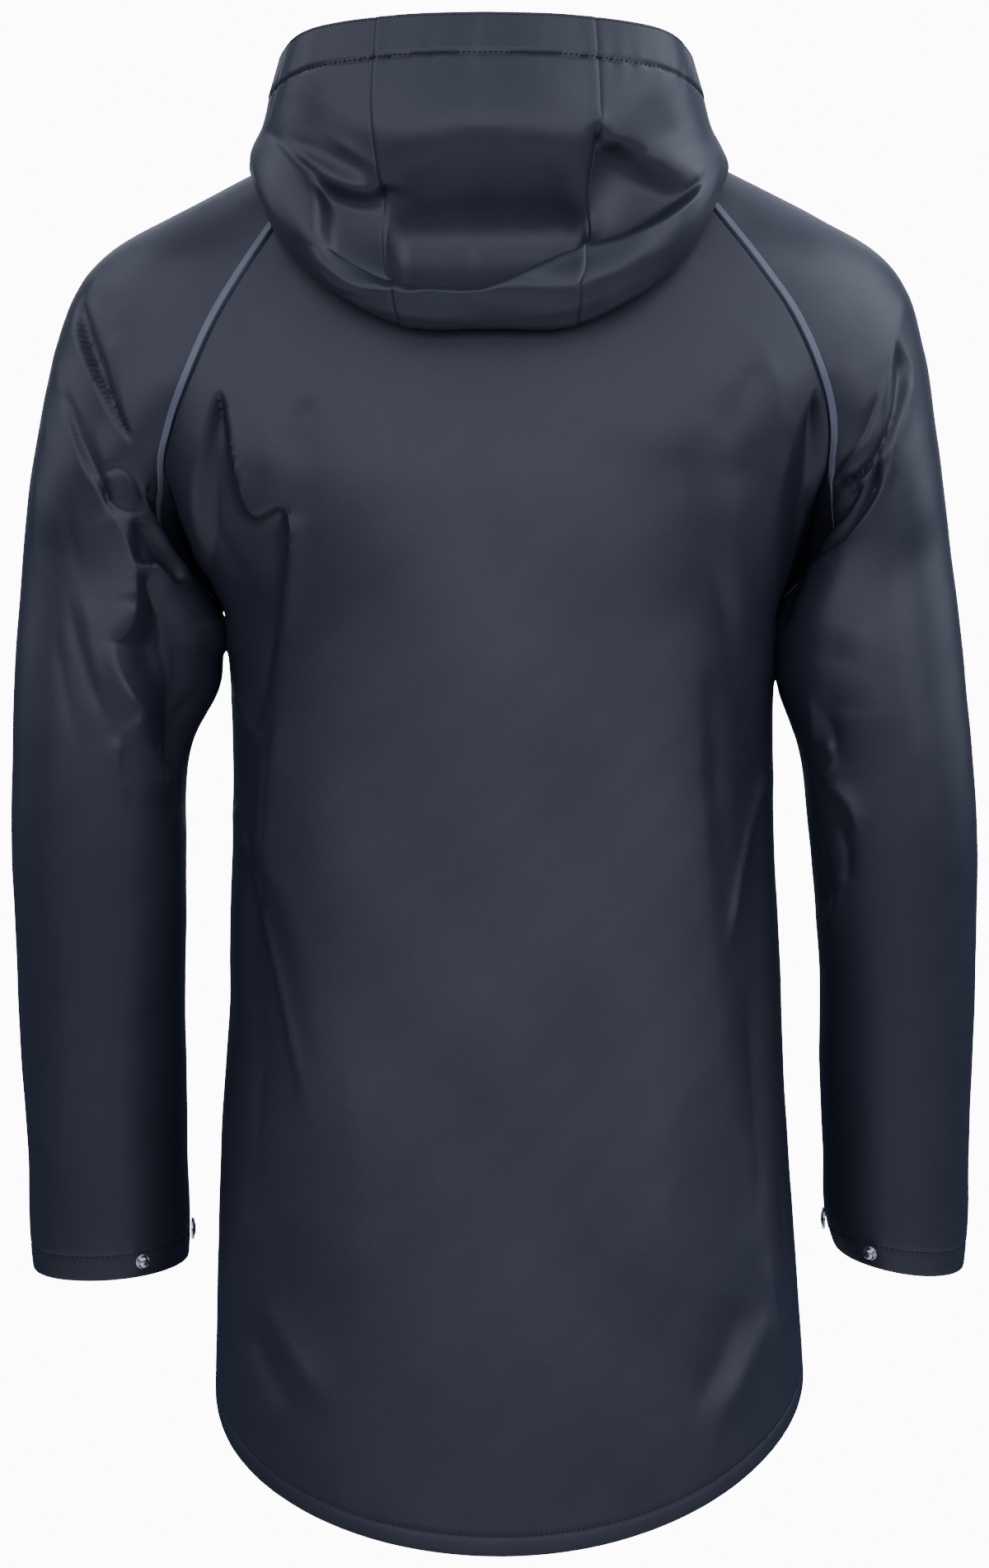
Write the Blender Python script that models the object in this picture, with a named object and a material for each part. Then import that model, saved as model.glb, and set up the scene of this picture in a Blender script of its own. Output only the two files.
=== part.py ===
"""Hooded raincoat in its worn form, hood down on the back.

The front faces -Y, the back faces +Y and the wearer's left is +X.
The origin is the middle of the neck at the height of the nape.
Every panel is a thin wall: its outer surface is worked out from the tables
below, and its inner surface is the same points moved in by the cloth's
thickness.  Tables are in millimetres, and the model is in metres.
"""
import bpy
import math
import numpy as np

# ---------------------------------------------------------------- sizes (mm)
CLOTH = 1.5            # coated knit with its backing
FOLDED = 2.4           # the same cloth where a hem is turned up
SEAM_GAP = 0.3         # between two pieces at a seam
HEM_TURN = 13.0        # turned-up body hem
CUFF_TURN = 16.0       # turned-up sleeve hem

BACK_HEM_DROP = 101.0  # how far the back hem hangs below the side seams
FRONT_HEM_DROP = 72.0
SIDE_HEM_Z = {"left": -800.0, "right": -791.0}
HEM_CORNER = {"left": 1.0, "right": 1.15}  # how softly the hem turns there

# The yoke between the raglan seams.  Arch: the power of its rounding across,
# at the underarm and near the neck.  Dip: how late its middle drops or rises
# to the neck's height.
UNDERARM_ARCH = 1.0
NECK_ARCH = 1.7
ARCH_CHANGE = (1.0, 0.45)      # stations between which one becomes the other
DIP_POWER = 1.5
PLACKET_LIFT = 0.4     # clear of the fronts
UNDERARM_CLEAR = 0.8   # the sleeve's lowest point of the armhole, off the body
UNDERARM_GAP = 0.4     # added to the seam's gap just above that point,
UNDERARM_FROM = 0.7    # from this station of the sleeve down
WELT_WIDTH = 4.6
WELT_HEIGHT = 1.2
WELT_LIFT = 0.7

SNAP_CAP_RADIUS = 7.2
SNAP_CAP_HEIGHT = 3.0
STUD_RADIUS = 5.0
STUD_HEIGHT = 4.4
SNAP_CLEAR = 0.5       # under a snap's base
SNAP_COUNT = 6
SNAP_TOP_Z = -108.0    # the first and last snap of the placket
SNAP_FOOT_Z = -738.0
CUFF_STUD_STATION = 1.975      # down the sleeve, 2 is the cuff's edge
CUFF_STUD_AROUND = 0.178       # round the sleeve, 0 is the inner arm
CUFF_CAP_STATION = 1.955

# grid steps
BODY_COLUMNS = 22      # across the back, and across both fronts together
SKIRT_ROWS = 16        # hem to underarm
YOKE_ROWS = 15         # underarm to neck, on the panels and on the sleeves
SLEEVE_COLUMNS = 20
ARM_ROWS = 17
HOOD_SIDE_COLUMNS = 15
HOOD_CENTRE_COLUMNS = 6

SIDES = ("left", "right")
OUTWARD = {"left": 1.0, "right": -1.0}


def table(columns, *rows):
    """Named columns of numbers, one row for each section of the coat."""
    names = columns.split()
    numbers = np.array(rows, dtype=float)
    return {name: numbers[:, place] for place, name in enumerate(names)}


def smooth(knots, values, at):
    """Smooth curve through every value, read at each place of 'at'."""
    at = np.asarray(at, dtype=float)
    slopes = np.gradient(values, knots)
    last = len(knots) - 2
    span = np.clip(np.searchsorted(knots, at, side="right") - 1, 0, last)
    width = knots[span + 1] - knots[span]
    f = np.clip((at - knots[span]) / width, 0.0, 1.0)
    start, end = values[span], values[span + 1]
    leave, arrive = slopes[span] * width, slopes[span + 1] * width
    return (start * (1 + 2 * f) * (1 - f) ** 2 + leave * f * (1 - f) ** 2
            + end * f * f * (3 - 2 * f) + arrive * f * f * (f - 1))


def soft_step(low, high, value):
    f = np.clip((value - low) / (high - low), 0.0, 1.0)
    return f * f * (3 - 2 * f)


# ---------------------------------------------------------------- the tables
# Skirt of the coat, from the underarm down: half widths to each side seam.
SKIRT = table(
    "z     left   right",
    (-950, 183.0, 203.0),
    (-800, 181.0, 201.0),
    (-750, 180.0, 198.0),
    (-640, 177.5, 190.0),
    (-532, 172.5, 185.5),
    (-425, 170.0, 181.0),
    (-345, 171.5, 181.5),
    (-300, 175.0, 182.0),
)

# Centre back and centre front in profile, from the neck down.
BACK_PROFILE = table(
    "z     y",
    (-950, 148.0),
    (-800, 145.0),
    (-640, 141.0),
    (-425, 137.0),
    (-300, 138.0),
    (-180, 133.0),
    (-110, 119.0),
    (-50, 93.0),
    (0, 57.0),
)
FRONT_PROFILE = table(
    "z     y",
    (-950, -148.0),
    (-800, -147.0),
    (-640, -145.0),
    (-425, -142.0),
    (-300, -140.0),
    (-220, -135.0),
    (-150, -121.0),
    (-110, -103.0),
    (-75, -78.0),
)

PROFILE = {"back": BACK_PROFILE, "front": FRONT_PROFILE}

# Raglan sleeve above the underarm, neck first.  crown: the line over the
# shoulder.  back and front: the seams, with the sleeve's depth there and the
# turn in degrees that the cloth has made past its deepest point at the seam.
SHOULDER_COLUMNS = ("crown_x crown_z mid_y back_x back_z back_depth back_turn "
                    "front_x front_z front_depth front_turn")
SHOULDER = {
    "left": table(
        SHOULDER_COLUMNS,
        (80, 20, 0, 68, 10, 41, -8, 62, -20, 57, -8),
        (112, 6, 0, 101, -10, 66, -12, 90, -48, 86, -12),
        (164, -19, 0, 124, -34, 84, -16, 116, -76, 102, -14),
        (212, -44, -1, 142, -58, 95, -18, 140, -104, 108, -14),
        (252, -67, -2, 160, -85, 103, -18, 160, -132, 110, -12),
        (273, -93, -3, 178, -116, 105, -14, 176, -160, 107, -6),
        (286, -133, -3, 193, -150, 101, -4, 188, -190, 98, 6),
        (295, -178, -3, 205, -182, 93, 12, 194, -220, 87, 22),
        (301, -215, -2, 211, -212, 85, 34, 195, -250, 78, 42),
        (304, -240, -1, 202, -254, 78, 62, 187, -278, 73, 66),
        (306, -258, 0, 175, -300, 73, 90, 175, -300, 70, 90),
    ),
    "right": table(
        SHOULDER_COLUMNS,
        (80, 20, 0, 68, 10, 41, -8, 62, -20, 57, -8),
        (112, 6, 0, 103, -8, 66, -12, 90, -48, 86, -12),
        (164, -20, 0, 128, -31, 84, -16, 116, -76, 102, -14),
        (212, -45, -1, 148, -54, 95, -18, 140, -104, 108, -14),
        (250, -67, -2, 168, -80, 103, -18, 160, -132, 110, -12),
        (269, -93, -3, 189, -111, 104, -14, 178, -160, 106, -6),
        (280, -135, -3, 205, -147, 99, -2, 190, -190, 96, 6),
        (286, -176, -3, 213, -178, 90, 14, 196, -220, 85, 22),
        (291, -215, -2, 213, -210, 81, 38, 197, -250, 76, 42),
        (294, -240, -1, 205, -254, 75, 64, 190, -278, 71, 66),
        (296, -258, 0, 182, -300, 71, 90, 182, -300, 68, 90),
    ),
}

# Sleeve below the underarm, to the cuff.  outer and inner: the sleeve's two
# edges seen from the back.  mid_y: the arm's axis.  depth: half the tube.
ARM_COLUMNS = "outer_x outer_z inner_x inner_z mid_y depth"
ARM = {
    "left": table(
        ARM_COLUMNS,
        (309, -300, 175.4, -327, 3, 71),
        (311, -345, 178.5, -350, 5, 68),
        (312, -388, 195, -384, 5, 63),
        (313, -447, 200, -447, 1, 59),
        (311.6, -510, 200.4, -510, -9, 57),
        (308.6, -591, 201, -591, -26, 54),
        (305.4, -652, 200.6, -652, -39, 52),
        (304, -703, 199, -700, -48, 50),
        (302, -725, 200, -718, -53, 49),
    ),
    "right": table(
        ARM_COLUMNS,
        (301, -300, 182.9, -330, 3, 70),
        (305, -345, 184.0, -352, 5, 67),
        (309, -388, 196, -386, 5, 62),
        (313, -450, 204, -447, 1, 58),
        (312.8, -532, 210.5, -530, -13, 55),
        (311.7, -597, 212, -591, -27, 53),
        (310.4, -652, 214.6, -647, -39, 51),
        (309, -703, 217, -694, -48, 49),
        (307, -724, 222, -710, -53, 48),
    ),
}

# Hood, thrown back.  Sections by azimuth in degrees from the centre back.
# Each runs from the neck seam up over a crest, down to the lowest fold of the
# pouch, out over its swell, in at the waist, out under the brow and up to the
# face edge.  reach: distance from the neck's axis.
HOOD = table(
    "azimuth crest crest_z low low_z swell swell_z waist waist_z brow brow_z edge edge_z",
    (0,      76,   24,     140, -121, 160,  -100,   134,  -64,    150, 4,    131, 78),
    (25,     79,   26,     152, -115, 168,  -92,    147,  -56,    158, 5,    139, 76),
    (45,     87,   30,     173, -78,  182,  -54,    169,  -14,    163, 28,   153, 70),
    (65,     95,   33,     168, -18,  167,  -13,    155,  6,      149, 32,   143, 60),
    (85,     98,   31,     144, 2,    144,  7,      139,  14,     137, 31,   134, 49),
    (110,    96,   21,     130, 3,    130,  8,      128,  13,     125, 19,   122, 26),
    (140,    88,   -18,    104, -22,  107,  -20,    110,  -16,    113, -11,  115, -6),
    (180,    84,   -68,    91,  -65,  95,   -62,    99,   -57,    104, -49,  110, -40),
)
# Stations along a section, and where the two hood seams run across them.
HOOD_STATION = np.array([0.0, 0.08, 0.46, 0.575, 0.70, 0.85, 1.0])
HOOD_SEAM_AZIMUTH = np.array([36.0, 33.0, 22.5, 21.0, 26.0, 27.2, 29.5])
HOOD_EDGE_STATION = 0.93       # where the turned-up face edge begins
HOOD_GRID_STATIONS = np.array([0.0, 0.08, 0.46, 0.575, 0.70, 0.85, 0.93, 1.0])
HOOD_GRID_ROWS = (2, 7, 4, 4, 3, 2, 1)
HOOD_LEAN = 5.5        # the hood sits this far to the wearer's left
THROAT_AZIMUTH = np.array([178.0, 177.5, 177.0, 176.5, 176.0, 175.3, 174.5])
HOOD_LOOSE_FROM = (0.40, 0.52)  # folds show only on the pouch's outer side
HOOD_LIFT = 1.6        # the hood's lower edge above the neck seam

# Large folds, placed on the back or front elevation (mm), from one end to the
# other.  rise: out of the cloth if positive.  width: half the fold.
FOLD_COLUMNS = "x0 z0 x1 z1 bow width rise"
HOOD_FOLDS = {
    "back": table(
        FOLD_COLUMNS,
        (112, -22, 62, -28, -6, 13, 5),       # left hook, upper lip
        (104, -50, 58, -66, -10, 16, -8),     # left hollow under it
        (-72, 18, -132, -20, 4, 14, 6),       # right ridge over the hollow
        (-40, -46, -108, -36, -4, 20, -9),    # right hollow
        (-20, -88, -126, -44, -8, 13, 5),     # lower lip of that hollow
        (52, -50, -56, -54, -4, 22, -3),      # hollow across the middle
    ),
}
COAT_FOLDS = {
    "back": table(
        FOLD_COLUMNS,
        (274, -120, 206, -220, -6, 12, -6),   # left sleeve, into the underarm
        (268, -160, 214, -262, -6, 14, 7),
        (236, -196, 200, -290, 0, 13, -7),
        (246, -312, 226, -372, 0, 11, -5),    # left elbow
        (262, -330, 240, -400, 0, 12, 5),
        (-262, -125, -214, -228, 6, 12, -5),  # right sleeve, into the underarm
        (-252, -170, -200, -270, 6, 12, 6),
        (-240, -205, -196, -292, 4, 12, -6),
        (-212, -372, -234, -420, 0, 12, 5),   # right elbow
        (-224, -345, -262, -392, 0, 12, -4),
        (172, -170, 180, -380, 0, 15, -6),    # drapes of the back
        (148, -230, 146, -420, 6, 15, 5),
        (128, -235, 120, -430, 4, 15, -4),
        (-197, -180, -190, -330, 0, 14, -6),
        (-122, -210, -146, -440, -4, 22, -4),
    ),
    "front": table(
        FOLD_COLUMNS,
        (272, -150, 205, -250, -4, 14, -6),   # sleeves
        (262, -190, 212, -290, -4, 13, 5),
        (285, -430, 222, -452, -6, 14, -4),
        (-270, -150, -205, -250, 4, 14, -6),
        (-258, -190, -212, -290, 4, 13, 5),
        (-285, -430, -222, -452, 6, 14, -4),
        (168, -200, 150, -420, 4, 16, -5),    # drapes of the fronts
        (-172, -200, -152, -420, -4, 16, -5),
        (120, -500, 128, -720, 0, 24, -4),
        (-116, -520, -130, -720, 0, 24, 4),
    ),
}

COLOURS = {
    "cloth": (0.035, 0.042, 0.062),
    "cloth_upper": (0.055, 0.062, 0.085),
    "welt": (0.085, 0.095, 0.13),
    "steel": (0.62, 0.62, 0.64),
}


# ---------------------------------------------------------------- surfaces
def sleeve_rows(side):
    """Sleeve sections from the neck to the cuff, with their stations: 0 is
    the neck, 1 the underarm and 2 the cuff."""
    shoulder, arm = SHOULDER[side], ARM[side]
    closed = np.full(len(arm["mid_y"]), 90.0)
    below = {
        "crown_x": arm["outer_x"], "crown_z": arm["outer_z"],
        "mid_y": arm["mid_y"],
        "back_x": arm["inner_x"], "back_z": arm["inner_z"],
        "back_depth": arm["depth"], "back_turn": closed,
        "front_x": arm["inner_x"], "front_z": arm["inner_z"],
        "front_depth": arm["depth"], "front_turn": closed,
    }
    rows = {name: np.concatenate([shoulder[name], below[name]])
            for name in shoulder}
    rows["lean"] = np.gradient(rows["mid_y"], rows["crown_z"])
    upper = np.linspace(0.0, 1.0, len(shoulder["mid_y"]))
    fall = shoulder["crown_z"][-1] - arm["outer_z"]
    return np.concatenate([upper, 1.0 + fall / fall[-1]]), rows


def sleeve(side, stations, around):
    """Outer surface of a raglan sleeve.  around runs from 0 at the back seam
    (or the inner arm) over the crown at 0.5 to 1 at the front seam."""
    knots, rows = sleeve_rows(side)
    station = np.asarray(stations, dtype=float)[:, None]
    around = np.asarray(around, dtype=float)[None, :]
    at = {name: smooth(knots, values, station)
          for name, values in rows.items()}
    on_back = around <= 0.5

    def pick(name):
        return np.where(on_back, at["back_" + name], at["front_" + name])

    turn = np.where(station >= 1.0, 90.0, np.minimum(pick("turn"), 90.0))
    turn = np.radians(turn)
    depth = pick("depth") * np.where(on_back, 1.0, -1.0)
    share = np.where(on_back, 2 * around, 2 * (1 - around))
    angle = -turn + (math.pi / 2 + turn) * share
    seamward = (1 - np.sin(angle)) / (1 + np.sin(turn))
    x = at["crown_x"] + (pick("x") - at["crown_x"]) * seamward
    z = at["crown_z"] + (pick("z") - at["crown_z"]) * seamward
    swing = depth * np.cos(angle)
    z = z - at["lean"] * swing * soft_step(1.0, 1.4, station)
    return np.stack([OUTWARD[side] * x, at["mid_y"] + swing, z], axis=-1)


def hem_height(face, angle):
    """Height of the body hem, by the angle round from the left side seam."""
    drop = BACK_HEM_DROP if face == "back" else FRONT_HEM_DROP
    left, right = SIDE_HEM_Z["left"], SIDE_HEM_Z["right"]
    at_side = left + (right - left) * (1 - np.cos(angle)) / 2
    roundness = HEM_CORNER["left"] + (HEM_CORNER["right"] - HEM_CORNER["left"]) * (
        1 - np.cos(angle)) / 2
    return at_side - drop * np.maximum(np.sin(angle), 0.0) ** roundness


def skirt(face, rises, angles):
    """The coat below the underarm.  rises: 0 at the hem, 1 at the underarm."""
    angle = np.asarray(angles)[None, :]
    rise = np.asarray(rises)[:, None]
    hem_z = hem_height(face, angle)
    z = hem_z + (SKIRT["z"][-1] - hem_z) * rise
    left = smooth(SKIRT["z"], SKIRT["left"], z)
    right = smooth(SKIRT["z"], SKIRT["right"], z)
    profile = PROFILE[face]
    depth = smooth(profile["z"], profile["y"], z)
    x = left - (right + left) * (1 - np.cos(angle)) / 2
    return np.stack([x, depth * np.sin(angle), z], axis=-1)


def yoke(face, stations, angles):
    """The panel above the underarm, held by the two raglan seams.
    stations: 1 at the underarm, 0 at the neck."""
    angle = np.asarray(angles)[None, :]
    station = np.asarray(stations)[:, None]
    seam = [0.0] if face == "back" else [1.0]
    left = sleeve("left", stations, seam)
    right = sleeve("right", stations, seam)
    share = ((1 - np.cos(angle)) / 2)[..., None]
    point = left + (right - left) * share
    profile = PROFILE[face]
    edge_y = (left[:, :, 1] + right[:, :, 1]) / 2
    edge_z = (left[:, :, 2] + right[:, :, 2]) / 2
    neck_edge_z = SHOULDER["left"][face + "_z"][0]
    dip = profile["z"][-1] - neck_edge_z
    middle_z = edge_z + dip * (1 - station) ** DIP_POWER
    middle_y = smooth(profile["z"], profile["y"], middle_z)
    power = UNDERARM_ARCH + (NECK_ARCH - UNDERARM_ARCH) * soft_step(
        *ARCH_CHANGE, station)
    arch = np.maximum(np.sin(angle), 0.0) ** power
    point[:, :, 1] += (middle_y - edge_y) * arch
    point[:, :, 2] += (middle_z - edge_z) * np.sin(angle) ** 2
    return point


def body_panel(face, angles):
    """Grid of a body panel, hem first, with one row at the hem's turning."""
    turn = HEM_TURN / (SKIRT["z"][-1] - SIDE_HEM_Z["left"])
    rises = np.concatenate([[0.0], np.linspace(turn, 1.0, SKIRT_ROWS)])
    stations = np.linspace(1.0, 0.0, YOKE_ROWS + 1)[1:]
    return np.concatenate([skirt(face, rises, angles),
                           yoke(face, stations, angles)])


def neck_ring():
    """The neck seam from the centre back round to the front, on the left, as
    azimuths in degrees with reaches and heights."""
    quarter = np.linspace(math.pi / 2, 0.0, 30)
    back = yoke("back", [0.0], quarter)[0]
    over = sleeve("left", [0.0], np.linspace(0.0, 1.0, 30))[0]
    front = yoke("front", [0.0], quarter[::-1])[0]
    ring = np.concatenate([back, over[1:-1], front])
    azimuth = np.degrees(np.arctan2(ring[:, 0], ring[:, 1]))
    return azimuth, np.hypot(ring[:, 0], ring[:, 1]), ring[:, 2]


def across_rails(reaches, heights, station):
    """Smooth curve through a section's seven rails at each point's station.
    Tangents follow the rails' own spacing, so tight folds don't overshoot."""
    rails = np.stack([np.stack(reaches), np.stack(heights)])
    chords = np.diff(rails, axis=1)
    lengths = np.sqrt((chords ** 2).sum(axis=0))[None]
    ways = chords / lengths
    inner = ((ways[:, :-1] * lengths[:, 1:] + ways[:, 1:] * lengths[:, :-1])
             / (lengths[:, 1:] + lengths[:, :-1]))
    slopes = np.concatenate([ways[:, :1], inner, ways[:, -1:]], axis=1)
    last = len(HOOD_STATION) - 2
    span = np.clip(np.searchsorted(HOOD_STATION, station, "right") - 1, 0, last)
    f = ((station - HOOD_STATION[span])
         / (HOOD_STATION[span + 1] - HOOD_STATION[span]))
    spot = tuple(np.indices(station.shape))

    def at(values, rail):
        return values[(slice(None), rail, *spot)]

    chord = at(lengths, span)
    return (at(rails, span) * (1 + 2 * f) * (1 - f) ** 2
            + at(slopes, span) * chord * f * (1 - f) ** 2
            + at(rails, span + 1) * f * f * (3 - 2 * f)
            + at(slopes, span + 1) * chord * f * f * (f - 1))


def hood_surface(azimuth, station):
    """Points of the hood at azimuths (degrees) and stations of one shape."""
    ring_azimuth, ring_reach, ring_z = neck_ring()
    around = np.abs(azimuth)
    reaches = [np.interp(around, ring_azimuth, ring_reach)]
    heights = [np.interp(around, ring_azimuth, ring_z) + HOOD_LIFT]
    for name in ("crest", "low", "swell", "waist", "brow", "edge"):
        reaches.append(smooth(HOOD["azimuth"], HOOD[name], around))
        heights.append(smooth(HOOD["azimuth"], HOOD[name + "_z"], around))
    reach, z = across_rails(reaches, heights, station)
    angle = np.radians(azimuth)
    lean = HOOD_LEAN * soft_step(0.04, HOOD_STATION[4], station)
    return np.stack([reach * np.sin(angle) + lean, reach * np.cos(angle), z],
                    axis=-1)


def hood_stations():
    pieces = [[0.0]]
    for first, last, count in zip(HOOD_GRID_STATIONS, HOOD_GRID_STATIONS[1:],
                                  HOOD_GRID_ROWS):
        pieces.append(np.linspace(first, last, count + 1)[1:])
    return np.concatenate(pieces)


def hood_panel(part):
    """Grid of a hood panel, neck seam first."""
    stations = hood_stations()
    seam = np.interp(stations, HOOD_STATION, HOOD_SEAM_AZIMUTH)[:, None]
    throat = np.interp(stations, HOOD_STATION, THROAT_AZIMUTH)[:, None]
    if part == "centre":
        share = np.linspace(1.0, -1.0, HOOD_CENTRE_COLUMNS + 1)
        azimuth = seam * share[None, :]
    else:
        share = np.linspace(0.0, 1.0, HOOD_SIDE_COLUMNS + 1) ** 1.2
        azimuth = seam + (throat - seam) * share[None, :]
        azimuth = azimuth[:, ::-1] if part == "left" else -azimuth
    station = np.broadcast_to(stations[:, None], azimuth.shape)
    return hood_surface(azimuth, station)


# ---------------------------------------------------------------- folds
def fold_relief(points, normals, folds):
    """How far the folds push each point along its normal."""
    relief = np.zeros(points.shape[:-1])
    for face, rows in folds.items():
        facing = normals[..., 1] if face == "back" else -normals[..., 1]
        seen = soft_step(-0.25, 0.35, facing)
        for k in range(len(rows["x0"])):
            start = np.array([rows["x0"][k], rows["z0"][k]])
            run = np.array([rows["x1"][k], rows["z1"][k]]) - start
            length = np.linalg.norm(run)
            along = run / length
            offset = points[..., [0, 2]] - start
            share = offset @ along / length
            bow = rows["bow"][k] * (1 - (2 * share - 1) ** 2)
            beside = offset @ np.array([-along[1], along[0]]) - bow
            fade = soft_step(-0.15, 0.25, share) * soft_step(1.15, 0.75, share)
            relief += (rows["rise"][k] * seen * fade
                       * np.exp(-(beside / rows["width"][k]) ** 2))
    return relief


# ---------------------------------------------------------------- walls
class Wall:
    """A piece of cloth: a grid of outer points with a thickness.  Columns
    run left to right seen from outside, and rows run upward.  The first
    closed_rows rows are rings, whose last point is their first."""

    def __init__(self, name, grid, colour, closed_rows=0):
        self.name = name
        self.grid = grid
        self.colour = colour
        self.closed_rows = closed_rows
        self.thickness = np.full(grid.shape[:2], CLOTH)
        self.looseness = np.ones(grid.shape[:2])     # how far folds take it
        self.normals = None
        self.find_normals()

    def find_normals(self):
        grid, closed = self.grid, self.closed_rows
        across = np.gradient(grid, axis=1)
        if closed:
            seam = (grid[:closed, 1] - grid[:closed, -2]) / 2
            across[:closed, 0] = seam
            across[:closed, -1] = seam
        normals = np.cross(across, np.gradient(grid, axis=0))
        length = np.linalg.norm(normals, axis=-1, keepdims=True)
        self.normals = normals / np.maximum(length, 1e-9)


def share_normals(walls):
    """Pieces that meet at a point get one normal there."""
    totals = {}
    for wall in walls:
        wall.find_normals()
    for wall in walls:
        for spot in np.ndindex(wall.grid.shape[:2]):
            key = tuple(np.round(wall.grid[spot], 3) + 0.0)
            totals[key] = totals.get(key, 0) + wall.normals[spot]
    for wall in walls:
        for spot in np.ndindex(wall.grid.shape[:2]):
            total = totals[tuple(np.round(wall.grid[spot], 3) + 0.0)]
            wall.normals[spot] = total / np.linalg.norm(total)


def press_folds(walls, folds):
    share_normals(walls)
    for wall in walls:
        relief = fold_relief(wall.grid, wall.normals, folds) * wall.looseness
        wall.grid = wall.grid + wall.normals * relief[..., None]
    share_normals(walls)


def stand_back(wall, first=0.0, last=0.0, top=0.0):
    """Move a wall's edges in, square to the edge, to leave the seam's gap.
    A gap is one number, or a number for each open row."""
    grid, closed = wall.grid, wall.closed_rows
    moved = grid.copy()
    everything = slice(None)
    open_rows = slice(closed, None)
    edges = (
        (first, (open_rows, 0), (open_rows, 1)),
        (last, (open_rows, -1), (open_rows, -2)),
        (top, (-1, everything), (-2, everything)),
    )
    for gap, edge, neighbour in edges:
        if not np.any(gap):
            continue
        line = np.gradient(grid[edge], axis=0)
        line = line / np.linalg.norm(line, axis=-1, keepdims=True)
        way = grid[neighbour] - grid[edge]
        way = way - line * np.sum(way * line, axis=-1, keepdims=True)
        way = way / np.linalg.norm(way, axis=-1, keepdims=True)
        moved[edge] += way * gap
    wall.grid = moved


def wall_object(wall):
    """Closed mesh of a wall: outer points, inner points and the rims."""
    rows, columns = wall.grid.shape[:2]
    inner = wall.grid - wall.normals * wall.thickness[..., None]
    points = np.concatenate([wall.grid.reshape(-1, 3), inner.reshape(-1, 3)])
    depth = rows * columns
    number = np.arange(depth).reshape(rows, columns)
    number[:wall.closed_rows, -1] = number[:wall.closed_rows, 0]
    faces = []
    for r in range(rows - 1):
        for c in range(columns - 1):
            quad = (number[r, c], number[r, c + 1],
                    number[r + 1, c + 1], number[r + 1, c])
            flip = (r + c) % 2
            faces += two_triangles(*quad, flip)
            back = [corner + depth for corner in quad]
            faces += two_triangles(back[0], back[3], back[2], back[1], flip)
    rim = [(number[0, c], number[0, c + 1]) for c in range(columns - 1)]
    rim += [(number[-1, c + 1], number[-1, c]) for c in range(columns - 1)]
    for r in range(max(wall.closed_rows - 1, 0), rows - 1):
        rim.append((number[r, -1], number[r + 1, -1]))
        rim.append((number[r + 1, 0], number[r, 0]))
    for a, b in rim:
        faces += [(b, a, a + depth), (b, a + depth, b + depth)]
    return mesh_object(wall.name, points, faces, wall.colour)


def two_triangles(a, b, c, d, flip):
    if flip:
        return [(a, b, d), (b, c, d)]
    return [(a, b, c), (a, c, d)]


def mesh_object(name, points, faces, colour, metallic=0.0, roughness=0.45):
    """Mesh object in metres from points in millimetres."""
    used = sorted({corner for face in faces for corner in face})
    place = {corner: spot for spot, corner in enumerate(used)}
    corners = [tuple(0.001 * value for value in points[i]) for i in used]
    mesh = bpy.data.meshes.new(name)
    mesh.from_pydata(corners, [], [[place[i] for i in face] for face in faces])
    mesh.update()
    material = bpy.data.materials.new(name + "_finish")
    material.use_nodes = True
    shader = material.node_tree.nodes["Principled BSDF"]
    shader.inputs["Base Color"].default_value = (*COLOURS[colour], 1.0)
    shader.inputs["Roughness"].default_value = roughness
    shader.inputs["Metallic"].default_value = metallic
    mesh.materials.append(material)
    thing = bpy.data.objects.new(name, mesh)
    bpy.context.scene.collection.objects.link(thing)
    return thing


# ---------------------------------------------------------------- cloth
def coat_walls():
    """Back, two fronts and two sleeves, meeting point for point."""
    angles = np.linspace(0.0, math.pi, BODY_COLUMNS + 1)
    middle = BODY_COLUMNS // 2
    front = body_panel("front", angles[::-1])
    body = [Wall("back_panel", body_panel("back", angles), "cloth"),
            Wall("front_right", front[:, :middle + 1], "cloth"),
            Wall("front_left", front[:, middle:], "cloth")]
    for wall in body:
        wall.thickness[:2] = FOLDED
    sleeves = []
    arm_length = SHOULDER["left"]["crown_z"][-1] - ARM["left"]["outer_z"][-1]
    turn = 2.0 - CUFF_TURN / arm_length
    stations = np.concatenate([
        [2.0], np.linspace(turn, 1.0, ARM_ROWS),
        np.linspace(1.0, 0.0, YOKE_ROWS + 1)[1:]])
    around = np.linspace(0.0, 1.0, SLEEVE_COLUMNS + 1)
    for side in SIDES:
        order = around[::-1] if side == "left" else around
        grid = sleeve(side, stations, order)
        grid[ARM_ROWS, [0, -1]] += (OUTWARD[side] * UNDERARM_CLEAR, 0.0,
                                    -UNDERARM_CLEAR)
        wall = Wall("sleeve_" + side, grid, "cloth_upper",
                    closed_rows=ARM_ROWS + 1)
        wall.thickness[:2] = FOLDED
        sleeves.append(wall)
    return body, sleeves


def hood_walls():
    walls = [Wall("hood_" + part, hood_panel(part), "cloth_upper")
             for part in ("left", "centre", "right")]
    stations = hood_stations()
    for wall in walls:
        wall.thickness[stations >= HOOD_EDGE_STATION - 1e-6] = FOLDED
        wall.looseness *= soft_step(*HOOD_LOOSE_FROM, stations)[:, None]
    return walls


def placket_wall(front_right, front_left):
    """Strip over the centre front, made from the fronts' own points."""
    grid = np.concatenate([front_right.grid[:, -2:], front_left.grid[:, 1:2]],
                          axis=1)
    normals = np.concatenate([front_right.normals[:, -2:],
                              front_left.normals[:, 1:2]], axis=1)
    lifted = grid + normals * (PLACKET_LIFT + CLOTH)
    wall = Wall("placket", lifted, "cloth_upper")
    wall.normals = normals
    return wall


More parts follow.
